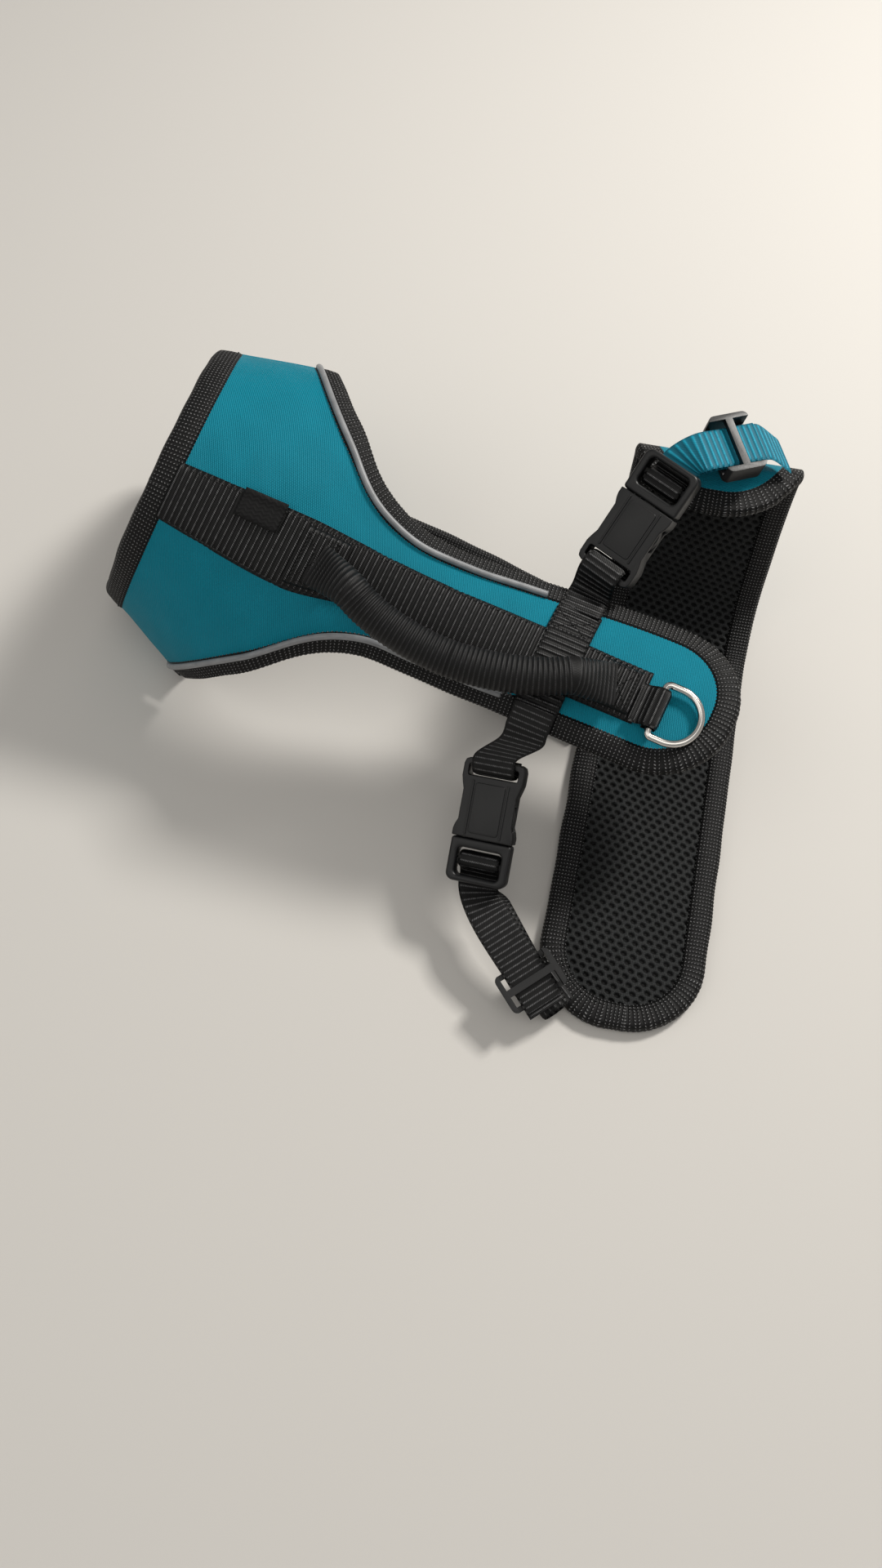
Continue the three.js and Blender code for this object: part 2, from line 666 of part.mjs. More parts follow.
const sides = [
  {
    name: "near",
    strapFrom: -25.8,
    strapSign: -1,
    female: vec(-77, -97, 64),
    male: vec(-62, -155, 33),
    facing: vec(-0.1, -0.45, 0.9),
    slider: vec(-15, -186, 21),
    sliderFacing: vec(-0.1, -0.15, 1),
    straight: 28,
    anchor: [],
    material: webbing,
  },
  {
    name: "far",
    strapFrom: 29.8,
    strapSign: 1,
    female: vec(-66, 4, 108),
    male: vec(-51, 57, 150),
    facing: vec(-0.2, -0.62, 0.75),
    slider: vec(-29, 79, 149),
    sliderFacing: vec(0.1, -0.1, 1),
    straight: 8,
    anchor: [vec(-5, 94, 138.5)],
    material: teal,
  },
];
for (const side of sides) {
  const frame = frameFrom(side.female, side.male, side.facing);
  const local = (x, y, z) => vec(x, y, z).applyMatrix4(frame);
  const across = vec(0, 0, 0).setFromMatrixColumn(frame, 0);
  const assembly = new THREE.Group();
  harness.add(assembly);
  addMesh(`${side.name}_buckle_female`, place(femaleSolid(), frame), acetal(), assembly);
  addMesh(`${side.name}_buckle_male`, place(maleSolid(), frame), acetal(), assembly);
  for (const [tag, e] of [["left", -1], ["right", 1]])
    addMesh(`${side.name}_latch_arm_${tag}`, place(armSolid(e), frame), acetal(), assembly);

  // Short strap from the cross strap, through the female slot and back under itself.
  const start = onBack(crossStrapAt, side.strapFrom, layerDepth(2) - webbingThick / 2);
  const overLift = bindingProud + gap + 1.7 * webbingThick;
  const over = [37, 44].map((t) => onBack(crossStrapAt, side.strapSign * t, -overLift));
  const sideways = vec(side.strapSign, 0, 0);
  addMesh(
    `${side.name}_short_strap`,
    strapAlong(
      [start, ...over, local(0, femaleEnd - 1, 7.4), local(0, slotY - 1, 5.5), local(0, slotY, -2)],
      [sideways, sideways, sideways.clone().lerp(across, 0.5), across, across, across],
      strapWidth - 1,
      webbingThick,
    ),
    webbing(),
  );

  // Adjuster strap: round the male bar and back, two layers a gap apart.
  const windowAt = maleEnd - 3 - (maleLength - 9) / 2;
  const sliderFrame = frameFrom(local(0, maleEnd + 4, 0), side.slider, side.sliderFacing);
  sliderFrame.setPosition(side.slider);
  const sLocal = (x, y, z) => vec(x, y, z).applyMatrix4(sliderFrame);
  const sAcross = vec(0, 0, 0).setFromMatrixColumn(sliderFrame, 0);
  addMesh(`${side.name}_slider`, place(sliderSolid(), sliderFrame), acetal());
  const layer = (webbingThick + gap) / 2;
  const stretch = [5, -6, -11 - side.straight];
  const topRun = [14, ...stretch].map((y) => sLocal(0, y, layer));
  const lowRun = [...[...stretch].reverse(), 12, 17].map((y) => sLocal(0, y, -layer));
  const roundBar = [
    [maleEnd + 2, 6],
    [maleEnd - 1.5, 6],
    [windowAt + 3, 4],
    [windowAt - 0.5, 1.6],
    [windowAt - 3, 0.4],
    [windowAt - 3.6, -1.6],
    [windowAt - 2.8, -3.7],
    [windowAt, -4.6],
    [windowAt + 3, -5.8],
    [maleEnd + 2, -6.2],
  ].map(([y, z]) => local(0, y, z));
  const route = [...topRun, ...roundBar, ...lowRun, ...side.anchor];
  const lowFrom = topRun.length + roundBar.length;
  const widths = route.map((_, i) => (i >= topRun.length && i < lowFrom ? across : sAcross));
  addMesh(
    `${side.name}_adjuster_strap`,
    strapAlong(route, widths, strapWidth - 2, webbingThick, 3),
    side.material(),
  );
}

// On the near side the webbing leaves the panel's corner, curls up over itself and carries the slider.
{
  const outward = vec(-0.5, -0.87, 0).normalize();
  const along = vec(0.87, -0.5, 0).normalize();
  const corner = vec(-3.5, -181.5, 0);
  const curl = [[0, 5], [7, 3], [12, 5.5], [12.5, 9], [8, 11.5], [0, 11.8], [-6, 11.2]];
  const path = curl.map(([out, z]) => corner.clone().addScaledVector(outward, out).add(vec(0, 0, z)));
  const loop = strapAlong(path, path.map(() => along), strapWidth - 2, webbingThick);
  addMesh("near_anchor_webbing", loop, webbing());
}

export default harness;
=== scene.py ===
# Looks of a padded no-pull dog harness: cloth panels, mesh lining, edge tape, webbing, buckles and D-ring.
# Shapes are worked out in millimetres in the part's frame and written to Blender in metres.
import math
import bmesh
import bpy
import numpy as np
from mathutils import Matrix, Vector


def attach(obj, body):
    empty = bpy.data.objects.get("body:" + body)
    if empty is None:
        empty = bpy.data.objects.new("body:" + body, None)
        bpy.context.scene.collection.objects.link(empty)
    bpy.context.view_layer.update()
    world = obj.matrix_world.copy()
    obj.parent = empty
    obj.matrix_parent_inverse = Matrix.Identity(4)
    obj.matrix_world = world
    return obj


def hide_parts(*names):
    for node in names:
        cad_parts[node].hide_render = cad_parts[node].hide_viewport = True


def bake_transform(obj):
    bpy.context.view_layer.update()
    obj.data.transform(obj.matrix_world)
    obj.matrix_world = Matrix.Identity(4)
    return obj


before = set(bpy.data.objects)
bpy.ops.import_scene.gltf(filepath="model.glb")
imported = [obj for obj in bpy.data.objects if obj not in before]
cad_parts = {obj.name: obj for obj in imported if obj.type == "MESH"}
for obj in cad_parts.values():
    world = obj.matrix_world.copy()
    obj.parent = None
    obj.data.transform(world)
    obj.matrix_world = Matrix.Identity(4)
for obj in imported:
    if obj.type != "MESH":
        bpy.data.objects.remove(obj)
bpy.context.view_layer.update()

MM = 0.001
PI = math.pi


def v3(*c):
    return np.array(c, float)


def unit(a):
    return a / np.linalg.norm(a)


def smooth(x, lo, hi):
    u = np.clip((np.asarray(x, float) - lo) / (hi - lo), 0, 1)
    return u * u * (3 - 2 * u)


def mix(a, b, u):
    return a + (b - a) * u


# ---- camera ----
camera = bpy.data.objects.new("camera", bpy.data.cameras.new("camera"))
bpy.context.scene.collection.objects.link(camera)
CAMERA_AT = (20.6 * MM, -365.7 * MM, 644 * MM)
CAMERA_AZIMUTH, CAMERA_PITCH = 26.0, 65.0
camera.location = CAMERA_AT
camera.rotation_euler = (math.radians(90 - CAMERA_PITCH), 0, math.radians(CAMERA_AZIMUTH))
camera.data.lens = 28.1
camera.data.sensor_width = 36
camera.data.clip_start = 0.01
bpy.context.scene.camera = camera

# ---- driving sizes, the same as the solids' ----
SHELL, GAP, PAD = 1.6, 0.5, 5.5
BINDING, PROUD, WEB = 12, 0.7, 1.4
PAD_TOP = SHELL + GAP
TOTAL = PAD_TOP + PAD
NECK_R, NECK_X, NECK_LEAN, NECK_SKEW = 75, -294, 0.45, 0.14
BAND, WAIST_AT, WAIST, SHOULDER = 52, 144, 27, 115
TONGUE, TONGUE_SHIFT, TONGUE_ROUND, LENGTH = 32, 7, 30, 310
CHEST_LENGTH, CHEST_HALF, CHEST_NECK = 291, 30, 118
GIRTH_HALF, GIRTH_OFFSET, GIRTH_NEAR, GIRTH_ROUND = 33, -13, 177, 30
YAW = math.radians(14)
HANDLE_FROM, HANDLE_TO, HANDLE_R, HANDLE_SAG, HANDLE_LIFT, TAB = 103, 250, 10, 18, 15.5, 20
CROSS_AT, STRAP = 226, 24
RING_HALF, RING_DEPTH, RING_WIRE, RING_REACH = 16.7, 27, 2.0, 13
NECK_START = BINDING + GAP


# ---- curves and surfaces ----
def hermite_table(stations, step=0.5):
    """Every column of the stations at each step of the first one."""
    keys = np.array([row[0] for row in stations], float)
    vals = np.array([row[1:] for row in stations], float)
    s = np.arange(keys[0], keys[-1] + step, step)
    out = np.zeros((len(s), vals.shape[1]))
    last = len(keys) - 1
    for n, x in enumerate(s):
        i = min(max(int(np.searchsorted(keys, x, "right")) - 1, 0), last - 1)
        h = keys[i + 1] - keys[i]
        u = min((x - keys[i]) / h, 1)
        a, b = max(i - 1, 0), min(i + 2, last)
        m0 = (vals[i + 1] - vals[a]) / (keys[i + 1] - keys[a])
        m1 = (vals[b] - vals[i]) / (keys[b] - keys[i])
        out[n] = (vals[i] * (2 * u**3 - 3 * u**2 + 1) + m0 * h * (u**3 - 2 * u**2 + u)
                  + vals[i + 1] * (-2 * u**3 + 3 * u**2) + m1 * h * (u**3 - u**2))
    return s, out


BACK = [
    (0, -65, 139.5, NECK_R, 36, NECK_R),
    (82, -61.5, 122, 66, 32, 99),
    (120, -56, 114.5, 65, 28, 85),
    (160, -53, 107, 66, 23, 70),
    (230, -48, 98, 84, 15, 84),
    (320, -45, 91, 140, 8, 140),
]


def opposite(station, own):
    s, y, z, radius, roll, reach = station
    tilt = math.radians(roll)
    through = radius + own
    return (s, y + through * math.sin(tilt), z - through * math.cos(tilt), own, roll, reach)


CHEST = [
    opposite(BACK[0], NECK_R),
    opposite(BACK[1], 46),
    (140, 12, 8.5, 80, 20, 80),
    (200, 12, 5, 110, 10, 110),
    (300, 6, 1.5, 260, 2, 260),
]
BACK_TABLE = hermite_table(BACK)
CHEST_TABLE = hermite_table(CHEST)


def column(table, s, k):
    return np.interp(s, table[0], table[1][:, k])


def girth_edge_x():
    across = GIRTH_OFFSET - GIRTH_HALF - BINDING - GAP
    return across / math.cos(YAW) - CHEST[-1][1] * math.tan(YAW)


def on_arc(table, s, t, depth, up):
    s, t, depth = np.broadcast_arrays(np.asarray(s, float), np.asarray(t, float), np.asarray(depth, float))
    y, z, radius, roll, reach = (column(table, s, k) for k in range(5))
    tilt = np.radians(roll)
    ny, nz = -np.sin(tilt) * up, np.cos(tilt) * up
    ay, az = np.cos(tilt), np.sin(tilt)
    angle = t / mix(NECK_R, reach, smooth(s, 82, 160))
    down, side = (radius - depth) * np.cos(angle), (reach - depth) * np.sin(angle)
    py = y - ny * radius + ny * down + ay * side
    pz = z - nz * radius + nz * down + az * side
    top_y, top_z = column(BACK_TABLE, s, 0), column(BACK_TABLE, s, 1)
    top_tilt = np.radians(column(BACK_TABLE, s, 3))
    oy, oz = py - top_y, pz - top_z
    below = oy * np.sin(top_tilt) - oz * np.cos(top_tilt)
    aside = oy * np.cos(top_tilt) + oz * np.sin(top_tilt)
    hold = 1 - smooth(s, 40, 215)
    px = NECK_X + s - (NECK_LEAN * below - NECK_SKEW * aside) * hold
    if up < 0:
        px = px - math.tan(YAW) * (py - y) * smooth(s, 150, CHEST_LENGTH)
        px = px + (girth_edge_x() - (NECK_X + CHEST_LENGTH)) * smooth(s, 40, 215)
    return np.stack([px, py, pz], -1)


def on_back(s, t, depth=0.0):
    return on_arc(BACK_TABLE, s, t, depth, 1)


def on_chest(s, t, depth=0.0):
    return on_arc(CHEST_TABLE, s, t, depth, -1)


def catmull(points, per_span):
    """Centripetal Catmull-Rom curve through the points: positions and unit tangents."""
    p = [np.array(q, float) for q in points]
    p = [2 * p[0] - p[1]] + p + [2 * p[-1] - p[-2]]
    out, tan = [], []
    for i in range(1, len(p) - 2):
        a, b, c, d = p[i - 1:i + 3]
        d0, d1, d2 = (max(np.sum((q - r) ** 2) ** 0.25, 1e-6) for q, r in ((b, a), (c, b), (d, c)))
        t1 = ((b - a) / d0 - (c - a) / (d0 + d1) + (c - b) / d1) * d1
        t2 = ((c - b) / d1 - (d - b) / (d1 + d2) + (d - c) / d2) * d1
        c2 = -3 * b + 3 * c - 2 * t1 - t2
        c3 = 2 * b - 2 * c + t1 + t2
        last = i == len(p) - 3
        for k in range(per_span + (1 if last else 0)):
            u = k / per_span
            out.append(b + t1 * u + c2 * u * u + c3 * u**3)
            tan.append(unit(t1 + 2 * c2 * u + 3 * c3 * u * u))
    return np.array(out), np.array(tan)


GIRTH_BEND = [(22, 0), (52, 5), (76, 24), (91, 60), (100, 98), (99, 122), (86, 133), (70, 130)]
bend_points, bend_tangents = catmull([(a, 0, z) for a, z in GIRTH_BEND], 40)
bend_at = np.concatenate([[0], np.cumsum(np.linalg.norm(np.diff(bend_points, axis=0), axis=1))])
FLAT_RUN = GIRTH_NEAR + 22
GIRTH_LENGTH = FLAT_RUN + bend_at[-1]
GIRTH_ALONG = v3(-math.sin(YAW), math.cos(YAW), 0)
GIRTH_ACROSS = v3(math.cos(YAW), math.sin(YAW), 0)


def on_girth(l, w, depth=0.0):
    l, w, depth = np.broadcast_arrays(np.asarray(l, float), np.asarray(w, float), np.asarray(depth, float))
    u = np.clip(l - FLAT_RUN, 0, bend_at[-1])
    bent = l > FLAT_RUN
    past = np.maximum(l - GIRTH_LENGTH, 0)
    tx, tz = (np.interp(u, bend_at, bend_tangents[:, k]) for k in (0, 2))
    a = np.where(bent, np.interp(u, bend_at, bend_points[:, 0]) + tx * past, l - GIRTH_NEAR)
    z = np.where(bent, np.interp(u, bend_at, bend_points[:, 2]) + tz * past, 0)
    na, nz = np.where(bent, tz, 0), np.where(bent, -tx, -1)
    a, z = a - na * depth, z - nz * depth
    sideways = (w + GIRTH_OFFSET)[..., None] * GIRTH_ACROSS
    return a[..., None] * GIRTH_ALONG + sideways + z[..., None] * v3(0, 0, 1)


# ---- meshes ----
def make_object(name, points, faces, material, weave=None, relief=None, flat=False):
    """points in mm; weave is (along, across) in mm and relief is 0..1 for each point, which the webbing, tape
    and mesh materials also turn into painted highlight and shade.
    """
    mesh = bpy.data.meshes.new(name)
    mesh.from_pydata((np.asarray(points) * MM).tolist(), [], faces)
    if weave is not None:
        layer = mesh.attributes.new("weave", "FLOAT_VECTOR", "POINT")
        full = np.zeros((len(points), 3), np.float32)
        full[:, :2] = weave
        layer.data.foreach_set("vector", full.ravel())
    if relief is not None:
        layer = mesh.attributes.new("relief", "FLOAT", "POINT")
        layer.data.foreach_set("value", np.asarray(relief, np.float32))
    mesh.validate()
    bm = bmesh.new()
    bm.from_mesh(mesh)
    bmesh.ops.recalc_face_normals(bm, faces=bm.faces)
    bm.to_mesh(mesh)
    bm.free()
    mesh.polygons.foreach_set("use_smooth", [not flat] * len(mesh.polygons))
    obj = bpy.data.objects.new(name, mesh)
    bpy.context.scene.collection.objects.link(obj)
    mesh.materials.append(material)
    return obj


def grid_faces(rows, cols, start=0, wrap=False, wrap_rows=False):
    faces = []
    for i in range(rows if wrap_rows else rows - 1):
        for j in range(cols if wrap else cols - 1):
            a, b = start + i * cols + j, start + i * cols + (j + 1) % cols
            n = ((i + 1) % rows) * cols + start
            faces.append((a, n + j, n + (j + 1) % cols, b))
    return faces


def slab(outer, inner):
    """Points and faces of a closed sheet between two grids."""
    rows, cols = outer.shape[:2]
    size = rows * cols
    points = np.concatenate([outer.reshape(-1, 3), inner.reshape(-1, 3)])
    faces = grid_faces(rows, cols) + [f[::-1] for f in grid_faces(rows, cols, size)]
    rim = [i * cols for i in range(rows)] + [(rows - 1) * cols + j for j in range(1, cols)]
    rim += [i * cols + cols - 1 for i in range(rows - 2, -1, -1)] + list(range(cols - 2, 0, -1))
    for a, b in zip(rim, rim[1:] + rim[:1]):
        faces.append((b, a, a + size, b + size))
    return points, faces


def sweep(rings, closed=False, caps=True):
    """Points and faces of a tube through rings of points."""
    rings = np.asarray(rings)
    count, sides = rings.shape[:2]
    faces = grid_faces(count, sides, wrap=True, wrap_rows=closed)
    if caps and not closed:
        faces.append(tuple(range(sides)))
        faces.append(tuple((count - 1) * sides + k for k in reversed(range(sides))))
    return rings.reshape(-1, 3), faces


def arc_steps(points):
    return np.concatenate([[0], np.cumsum(np.linalg.norm(np.diff(points, axis=0), axis=1))])


def resample(run, step):
    """A run of (s, t) pairs at even steps along itself, with rounded corners kept."""
    run = np.array(run, float)
    at = arc_steps(run)
    count = max(int(at[-1] / step), 2)
    even = np.linspace(0, at[-1], count + 1)
    return np.stack([np.interp(even, at, run[:, k]) for k in range(run.shape[1])], -1)


def grain(points, scale, seed):
    """Smooth pseudo-random value from -1 to 1 for each point, a sum of turned waves."""
    rng = np.random.default_rng(seed)
    total = np.zeros(len(points))
    for _ in range(7):
        direction = unit(rng.normal(size=3))
        wave = rng.uniform(0.6, 1.6) * 2 * PI / scale
        total += np.sin(points @ direction * wave + rng.uniform(0, 2 * PI))
    return total / 4


# ---- materials ----
def new_material(name, color, roughness, metallic=0.0, specular=0.5, sheen=0.0):
    material = bpy.data.materials.new(name)
    material.use_nodes = True
    shader = material.node_tree.nodes["Principled BSDF"]
    shader.inputs["Base Color"].default_value = (*color, 1)
    shader.inputs["Roughness"].default_value = roughness
    shader.inputs["Metallic"].default_value = metallic
    shader.inputs["Specular IOR Level"].default_value = specular
    if sheen:
        shader.inputs["Sheen Weight"].default_value = sheen
        shader.inputs["Sheen Roughness"].default_value = 0.5
    return material, shader


class Nodes:
    """Short calls that add a node and link its inputs."""

    def __init__(self, material):
        self.tree = material.node_tree

    def node(self, kind, **settings):
        made = self.tree.nodes.new(kind)
        for key, value in settings.items():
            setattr(made, key, value)
        return made

    def feed(self, target, value):
        if isinstance(value, bpy.types.NodeSocket):
            self.tree.links.new(value, target)
        else:
            target.default_value = value

    def math(self, operation, a, b=0.0):
        made = self.node("ShaderNodeMath", operation=operation)
        self.feed(made.inputs[0], a)
        self.feed(made.inputs[1], b)
        return made.outputs[0]

    def weave(self):
        attribute = self.node("ShaderNodeAttribute", attribute_name="weave")
        parts = self.node("ShaderNodeSeparateXYZ")
        self.feed(parts.inputs[0], attribute.outputs["Vector"])
        return attribute.outputs["Vector"], parts.outputs[0], parts.outputs[1]

    def relief(self):
        return self.node("ShaderNodeAttribute", attribute_name="relief").outputs["Fac"]

    def wave(self, value, pitch, phase=0.0):
        """0..1 ripple of a pitch in mm along a value in mm."""
        turned = self.node("ShaderNodeMath", operation="MULTIPLY_ADD")
        self.feed(turned.inputs[0], value)
        turned.inputs[1].default_value = 2 * PI / pitch
        turned.inputs[2].default_value = phase
        half = self.node("ShaderNodeMath", operation="MULTIPLY_ADD")
        self.feed(half.inputs[0], self.math("SINE", turned.outputs[0]))
        half.inputs[1].default_value = 0.5
        half.inputs[2].default_value = 0.5
        return half.outputs[0]

    def noise(self, scale, detail=3.0, vector=None):
        made = self.node("ShaderNodeTexNoise")
        made.inputs["Scale"].default_value = scale
        made.inputs["Detail"].default_value = detail
        if vector is None:
            vector = self.node("ShaderNodeTexCoord").outputs["Object"]
        self.feed(made.inputs["Vector"], vector)
        return made.outputs["Fac"]

    def ramp(self, value, stops):
        made = self.node("ShaderNodeValToRGB")
        elements = made.color_ramp.elements
        while len(elements) < len(stops):
            elements.new(0.5)
        for element, (place, color) in zip(elements, stops):
            element.position = place
            element.color = (*color, 1)
        self.feed(made.inputs[0], value)
        return made.outputs[0]

    def bump(self, shader, height, distance, strength=1.0):
        made = self.node("ShaderNodeBump")
        made.inputs["Distance"].default_value = distance
        made.inputs["Strength"].default_value = strength
        self.feed(made.inputs["Height"], height)
        self.tree.links.new(made.outputs[0], shader.inputs["Normal"])


def scaled(color, k):
    return tuple(c * k for c in color)


def twill(name, color):
    """Fine diagonal twill with slubs and a satin face."""
    material, shader = new_material(name, color, 0.55, specular=0.14)
    n = Nodes(material)
    vector, along, across = n.weave()
    diagonal = n.wave(n.math("ADD", along, n.math("MULTIPLY", across, 0.55)), 1.05)
    thread = n.wave(across, 0.62)
    slub = n.noise(0.9, 2.0, vector)
    patch = n.noise(0.06, 3.0, vector)
    tone = n.math("ADD", n.math("MULTIPLY", diagonal, 0.45), n.math("MULTIPLY", slub, 0.35))
    tone = n.math("ADD", tone, n.math("MULTIPLY", patch, 0.3))
    n.feed(shader.inputs["Base Color"], n.ramp(tone, [
        (0.15, scaled(color, 0.72)), (0.5, color), (0.95, scaled(color, 1.25))]))
    n.bump(shader, n.math("ADD", diagonal, n.math("MULTIPLY", thread, 0.5)), 0.00016)
    return material


def webbing_material(name, low, high):
    """Ribbed webbing: painted highlights on the rib tops, painted shade in the valleys, fine threads across
    each rib and wear noise breaking up the highlights.
    """
    material, shader = new_material(name, low, 0.5, specular=0.25)
    n = Nodes(material)
    vector, along, across = n.weave()
    rib = n.math("POWER", n.relief(), 1.6)
    thread = n.wave(n.math("ADD", across, n.math("MULTIPLY", along, 0.6)), 0.8)
    wear_and_sheen = n.noise(0.5, 4.0, vector)
    highlight_and_wear = n.math("ADD", n.math("MULTIPLY", thread, 0.5), n.math("MULTIPLY", wear_and_sheen, 0.7))
    # Rib relief times the thread and wear noise: painted highlight on the rib tops, painted shade in the
    # valleys.
    tone = n.math("MULTIPLY", rib, highlight_and_wear)
    n.feed(shader.inputs["Base Color"], n.ramp(tone, [(0.1, scaled(low, 0.5)), (0.4, low), (0.85, high)]))
    n.bump(shader, n.math("ADD", rib, n.math("MULTIPLY", thread, 0.35)), 0.00018)
    return material


def tape_material(name, low, high):
    """Woven edge tape: painted highlights as short pale dashes along its ribs, painted shade between them."""
    material, shader = new_material(name, low, 0.6, specular=0.25)
    n = Nodes(material)
    vector, along, across = n.weave()
    rib = n.relief()
    dash = n.wave(n.math("ADD", across, n.math("MULTIPLY", n.wave(along, TAPE_RIB * 2), 0.9)), 1.75)
    wear_and_sheen = n.noise(0.5, 4.0, vector)
    # Painted highlight on the raised dashes, varied by the wear noise; the ramp's darkest stop is painted
    # shade between the ribs.
    dots = n.math("MULTIPLY", n.math("POWER", rib, 2.0), n.math("POWER", dash, 1.6))
    tone = n.math("MULTIPLY", dots, n.math("ADD", wear_and_sheen, 0.35))
    n.feed(shader.inputs["Base Color"], n.ramp(tone, [(0.08, scaled(low, 0.4)), (0.35, low), (0.75, high)]))
    n.bump(shader, dots, 0.0003)
    return material


def mesh_material(name, low, high):
    """Knitted air mesh: painted shade in its holes, with fine knit loops between them carrying painted
    glints.
    """
    material, shader = new_material(name, low, 0.7, specular=0.2)
    n = Nodes(material)
    vector, along, across = n.weave()
    open_part = n.relief()
    knit = n.math("MULTIPLY", n.wave(along, 0.8), n.wave(across, 0.9))
    glint = n.noise(1.4, 2.0, vector)
    threads = n.math("ADD", n.math("MULTIPLY", knit, 0.5), n.math("MULTIPLY", glint, 0.9))
    tone = n.math("MULTIPLY", open_part, threads)
    # First stop near black: painted shade in the holes; top stop: painted highlight from the glint noise on
    # the knit.
    shades = [(0.08, (0.0008, 0.0008, 0.0009)), (0.4, low), (0.9, high)]
    n.feed(shader.inputs["Base Color"], n.ramp(tone, shades))
    n.bump(shader, n.math("ADD", n.math("MULTIPLY", knit, 0.4), open_part), 0.0002)
    return material


def plastic_material(name, color):
    material, shader = new_material(name, color, 0.42, specular=0.4)
    n = Nodes(material)
    fine = n.noise(900, 4.0)
    broad = n.noise(60, 3.0)
    n.feed(shader.inputs["Roughness"], n.math("ADD", n.math("MULTIPLY", broad, 0.16), 0.33))
    shades = [(0.3, scaled(color, 0.85)), (0.75, scaled(color, 1.35))]
    n.feed(shader.inputs["Base Color"], n.ramp(broad, shades))
    n.bump(shader, fine, 0.00004)
    return material


def metal_material(name, color):
    material, shader = new_material(name, color, 0.14, metallic=1.0)
    n = Nodes(material)
    smear = n.noise(140, 4.0)
    fine = n.noise(1500, 3.0)
    n.feed(shader.inputs["Roughness"], n.math("ADD", n.math("MULTIPLY", smear, 0.12), 0.08))
    n.feed(shader.inputs["Base Color"], n.ramp(smear, [(0.3, scaled(color, 0.9)), (0.7, color)]))
    n.bump(shader, fine, 0.000002)
    return material


def reflective_material(name, color):
    material, shader = new_material(name, color, 0.38, specular=0.55)
    n = Nodes(material)
    vector = n.weave()[0]
    beads = n.noise(6, 3.0, vector)
    broad = n.noise(0.12, 3.0, vector)
    n.feed(shader.inputs["Base Color"], n.ramp(broad, [(0.3, scaled(color, 0.8)), (0.7, scaled(color, 1.2))]))
    n.feed(shader.inputs["Roughness"], n.math("ADD", n.math("MULTIPLY", beads, 0.2), 0.28))
    n.bump(shader, beads, 0.00006)
    return material


TEAL = twill("teal_twill", (0.001, 0.185, 0.262))
# Second colour of each webbing, tape and mesh material: its painted highlight; the ramps darken the first
# colour for painted shade.
TEAL_WEB = webbing_material("teal_webbing", (0.003, 0.24, 0.36), (0.01, 0.38, 0.52))
BLACK_WEB = webbing_material("black_webbing", (0.0035, 0.0035, 0.0038), (0.17, 0.17, 0.175))
SLEEVE_WEB = webbing_material("sleeve_webbing", (0.0055, 0.0055, 0.006), (0.06, 0.06, 0.062))
TAPE_RIB = 2.1
TAPE = tape_material("binding_tape", (0.003, 0.003, 0.0033), (0.24, 0.24, 0.245))
AIR_MESH = mesh_material("air_mesh", (0.0075, 0.0082, 0.0085), (0.032, 0.034, 0.035))
ACETAL = plastic_material("acetal", (0.0038, 0.0040, 0.0046))
NICKEL = metal_material("nickel", (0.70, 0.675, 0.64))
PIPING = reflective_material("reflective_piping", (0.215, 0.222, 0.232))
THREAD, _ = new_material("thread", (0.007, 0.007, 0.0075), 0.45, specular=0.35)
# The label's pale dashes are painted highlights too.
LABEL = tape_material("label_weave", (0.004, 0.004, 0.0045), (0.02, 0.02, 0.021))
FOAM, _ = new_material("foam", (0.02, 0.02, 0.02), 0.9)
_foam = Nodes(FOAM)
_foam.bump(_, _foam.noise(900, 3.0), 0.0002)


def finish_piece(obj, body, slot, *nodes, padded=None):
    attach(obj, body)
    if nodes:
        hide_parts(*nodes)
    return obj


# ---- panel outlines ----
def back_edge(side, steps=28):
    a = np.linspace(0, PI / 2, steps)
    half_width = side * (SHOULDER - (SHOULDER - WAIST) * np.sin(a))
    run = list(zip(WAIST_AT - (WAIST_AT - BAND) * np.cos(a), half_width))
    end = LENGTH - TONGUE_ROUND
    for s in np.linspace(WAIST_AT + 6, end, 24):
        f = float(smooth(s, WAIST_AT, end))
        run.append((s, side * mix(WAIST, TONGUE, f) + TONGUE_SHIFT * f))
    for a in np.linspace(0.1, PI / 2 - 0.12, 12):
        run.append((end + TONGUE_ROUND * math.sin(a),
                    side * (TONGUE - TONGUE_ROUND + TONGUE_ROUND * math.cos(a)) + TONGUE_SHIFT))
    return run


def chest_edge(side, steps=24):
    a = np.linspace(0, PI / 2, steps)
    run = list(zip(WAIST_AT - (WAIST_AT - BAND) * np.cos(a),
                   side * (CHEST_NECK - (CHEST_NECK - CHEST_HALF) * np.sin(a))))
    return run + [(s, side * CHEST_HALF) for s in np.linspace(WAIST_AT + 6, CHEST_LENGTH, 20)]


def girth_edge(side):
    a = np.linspace(0.08, PI / 2, 14)
    near = [(GIRTH_ROUND * (1 - math.cos(x)), side * (GIRTH_HALF - GIRTH_ROUND + GIRTH_ROUND * math.sin(x)))
            for x in a]
    far = [(GIRTH_LENGTH - l, w) for l, w in reversed(near)]
    middle = [(l, side * GIRTH_HALF)
              for l in np.linspace(GIRTH_ROUND + 4, GIRTH_LENGTH - GIRTH_ROUND - 4, 90)]
    return near + middle + far


def panel_rows(far, near, lead):
    """Rows (s, t far, t near) of a panel: a straight lead, then between its edge runs."""
    rows = [(s, far[0][1], near[0][1]) for s in lead]
    return rows + [(f[0], f[1], n[1]) for f, n in zip(far, near)]


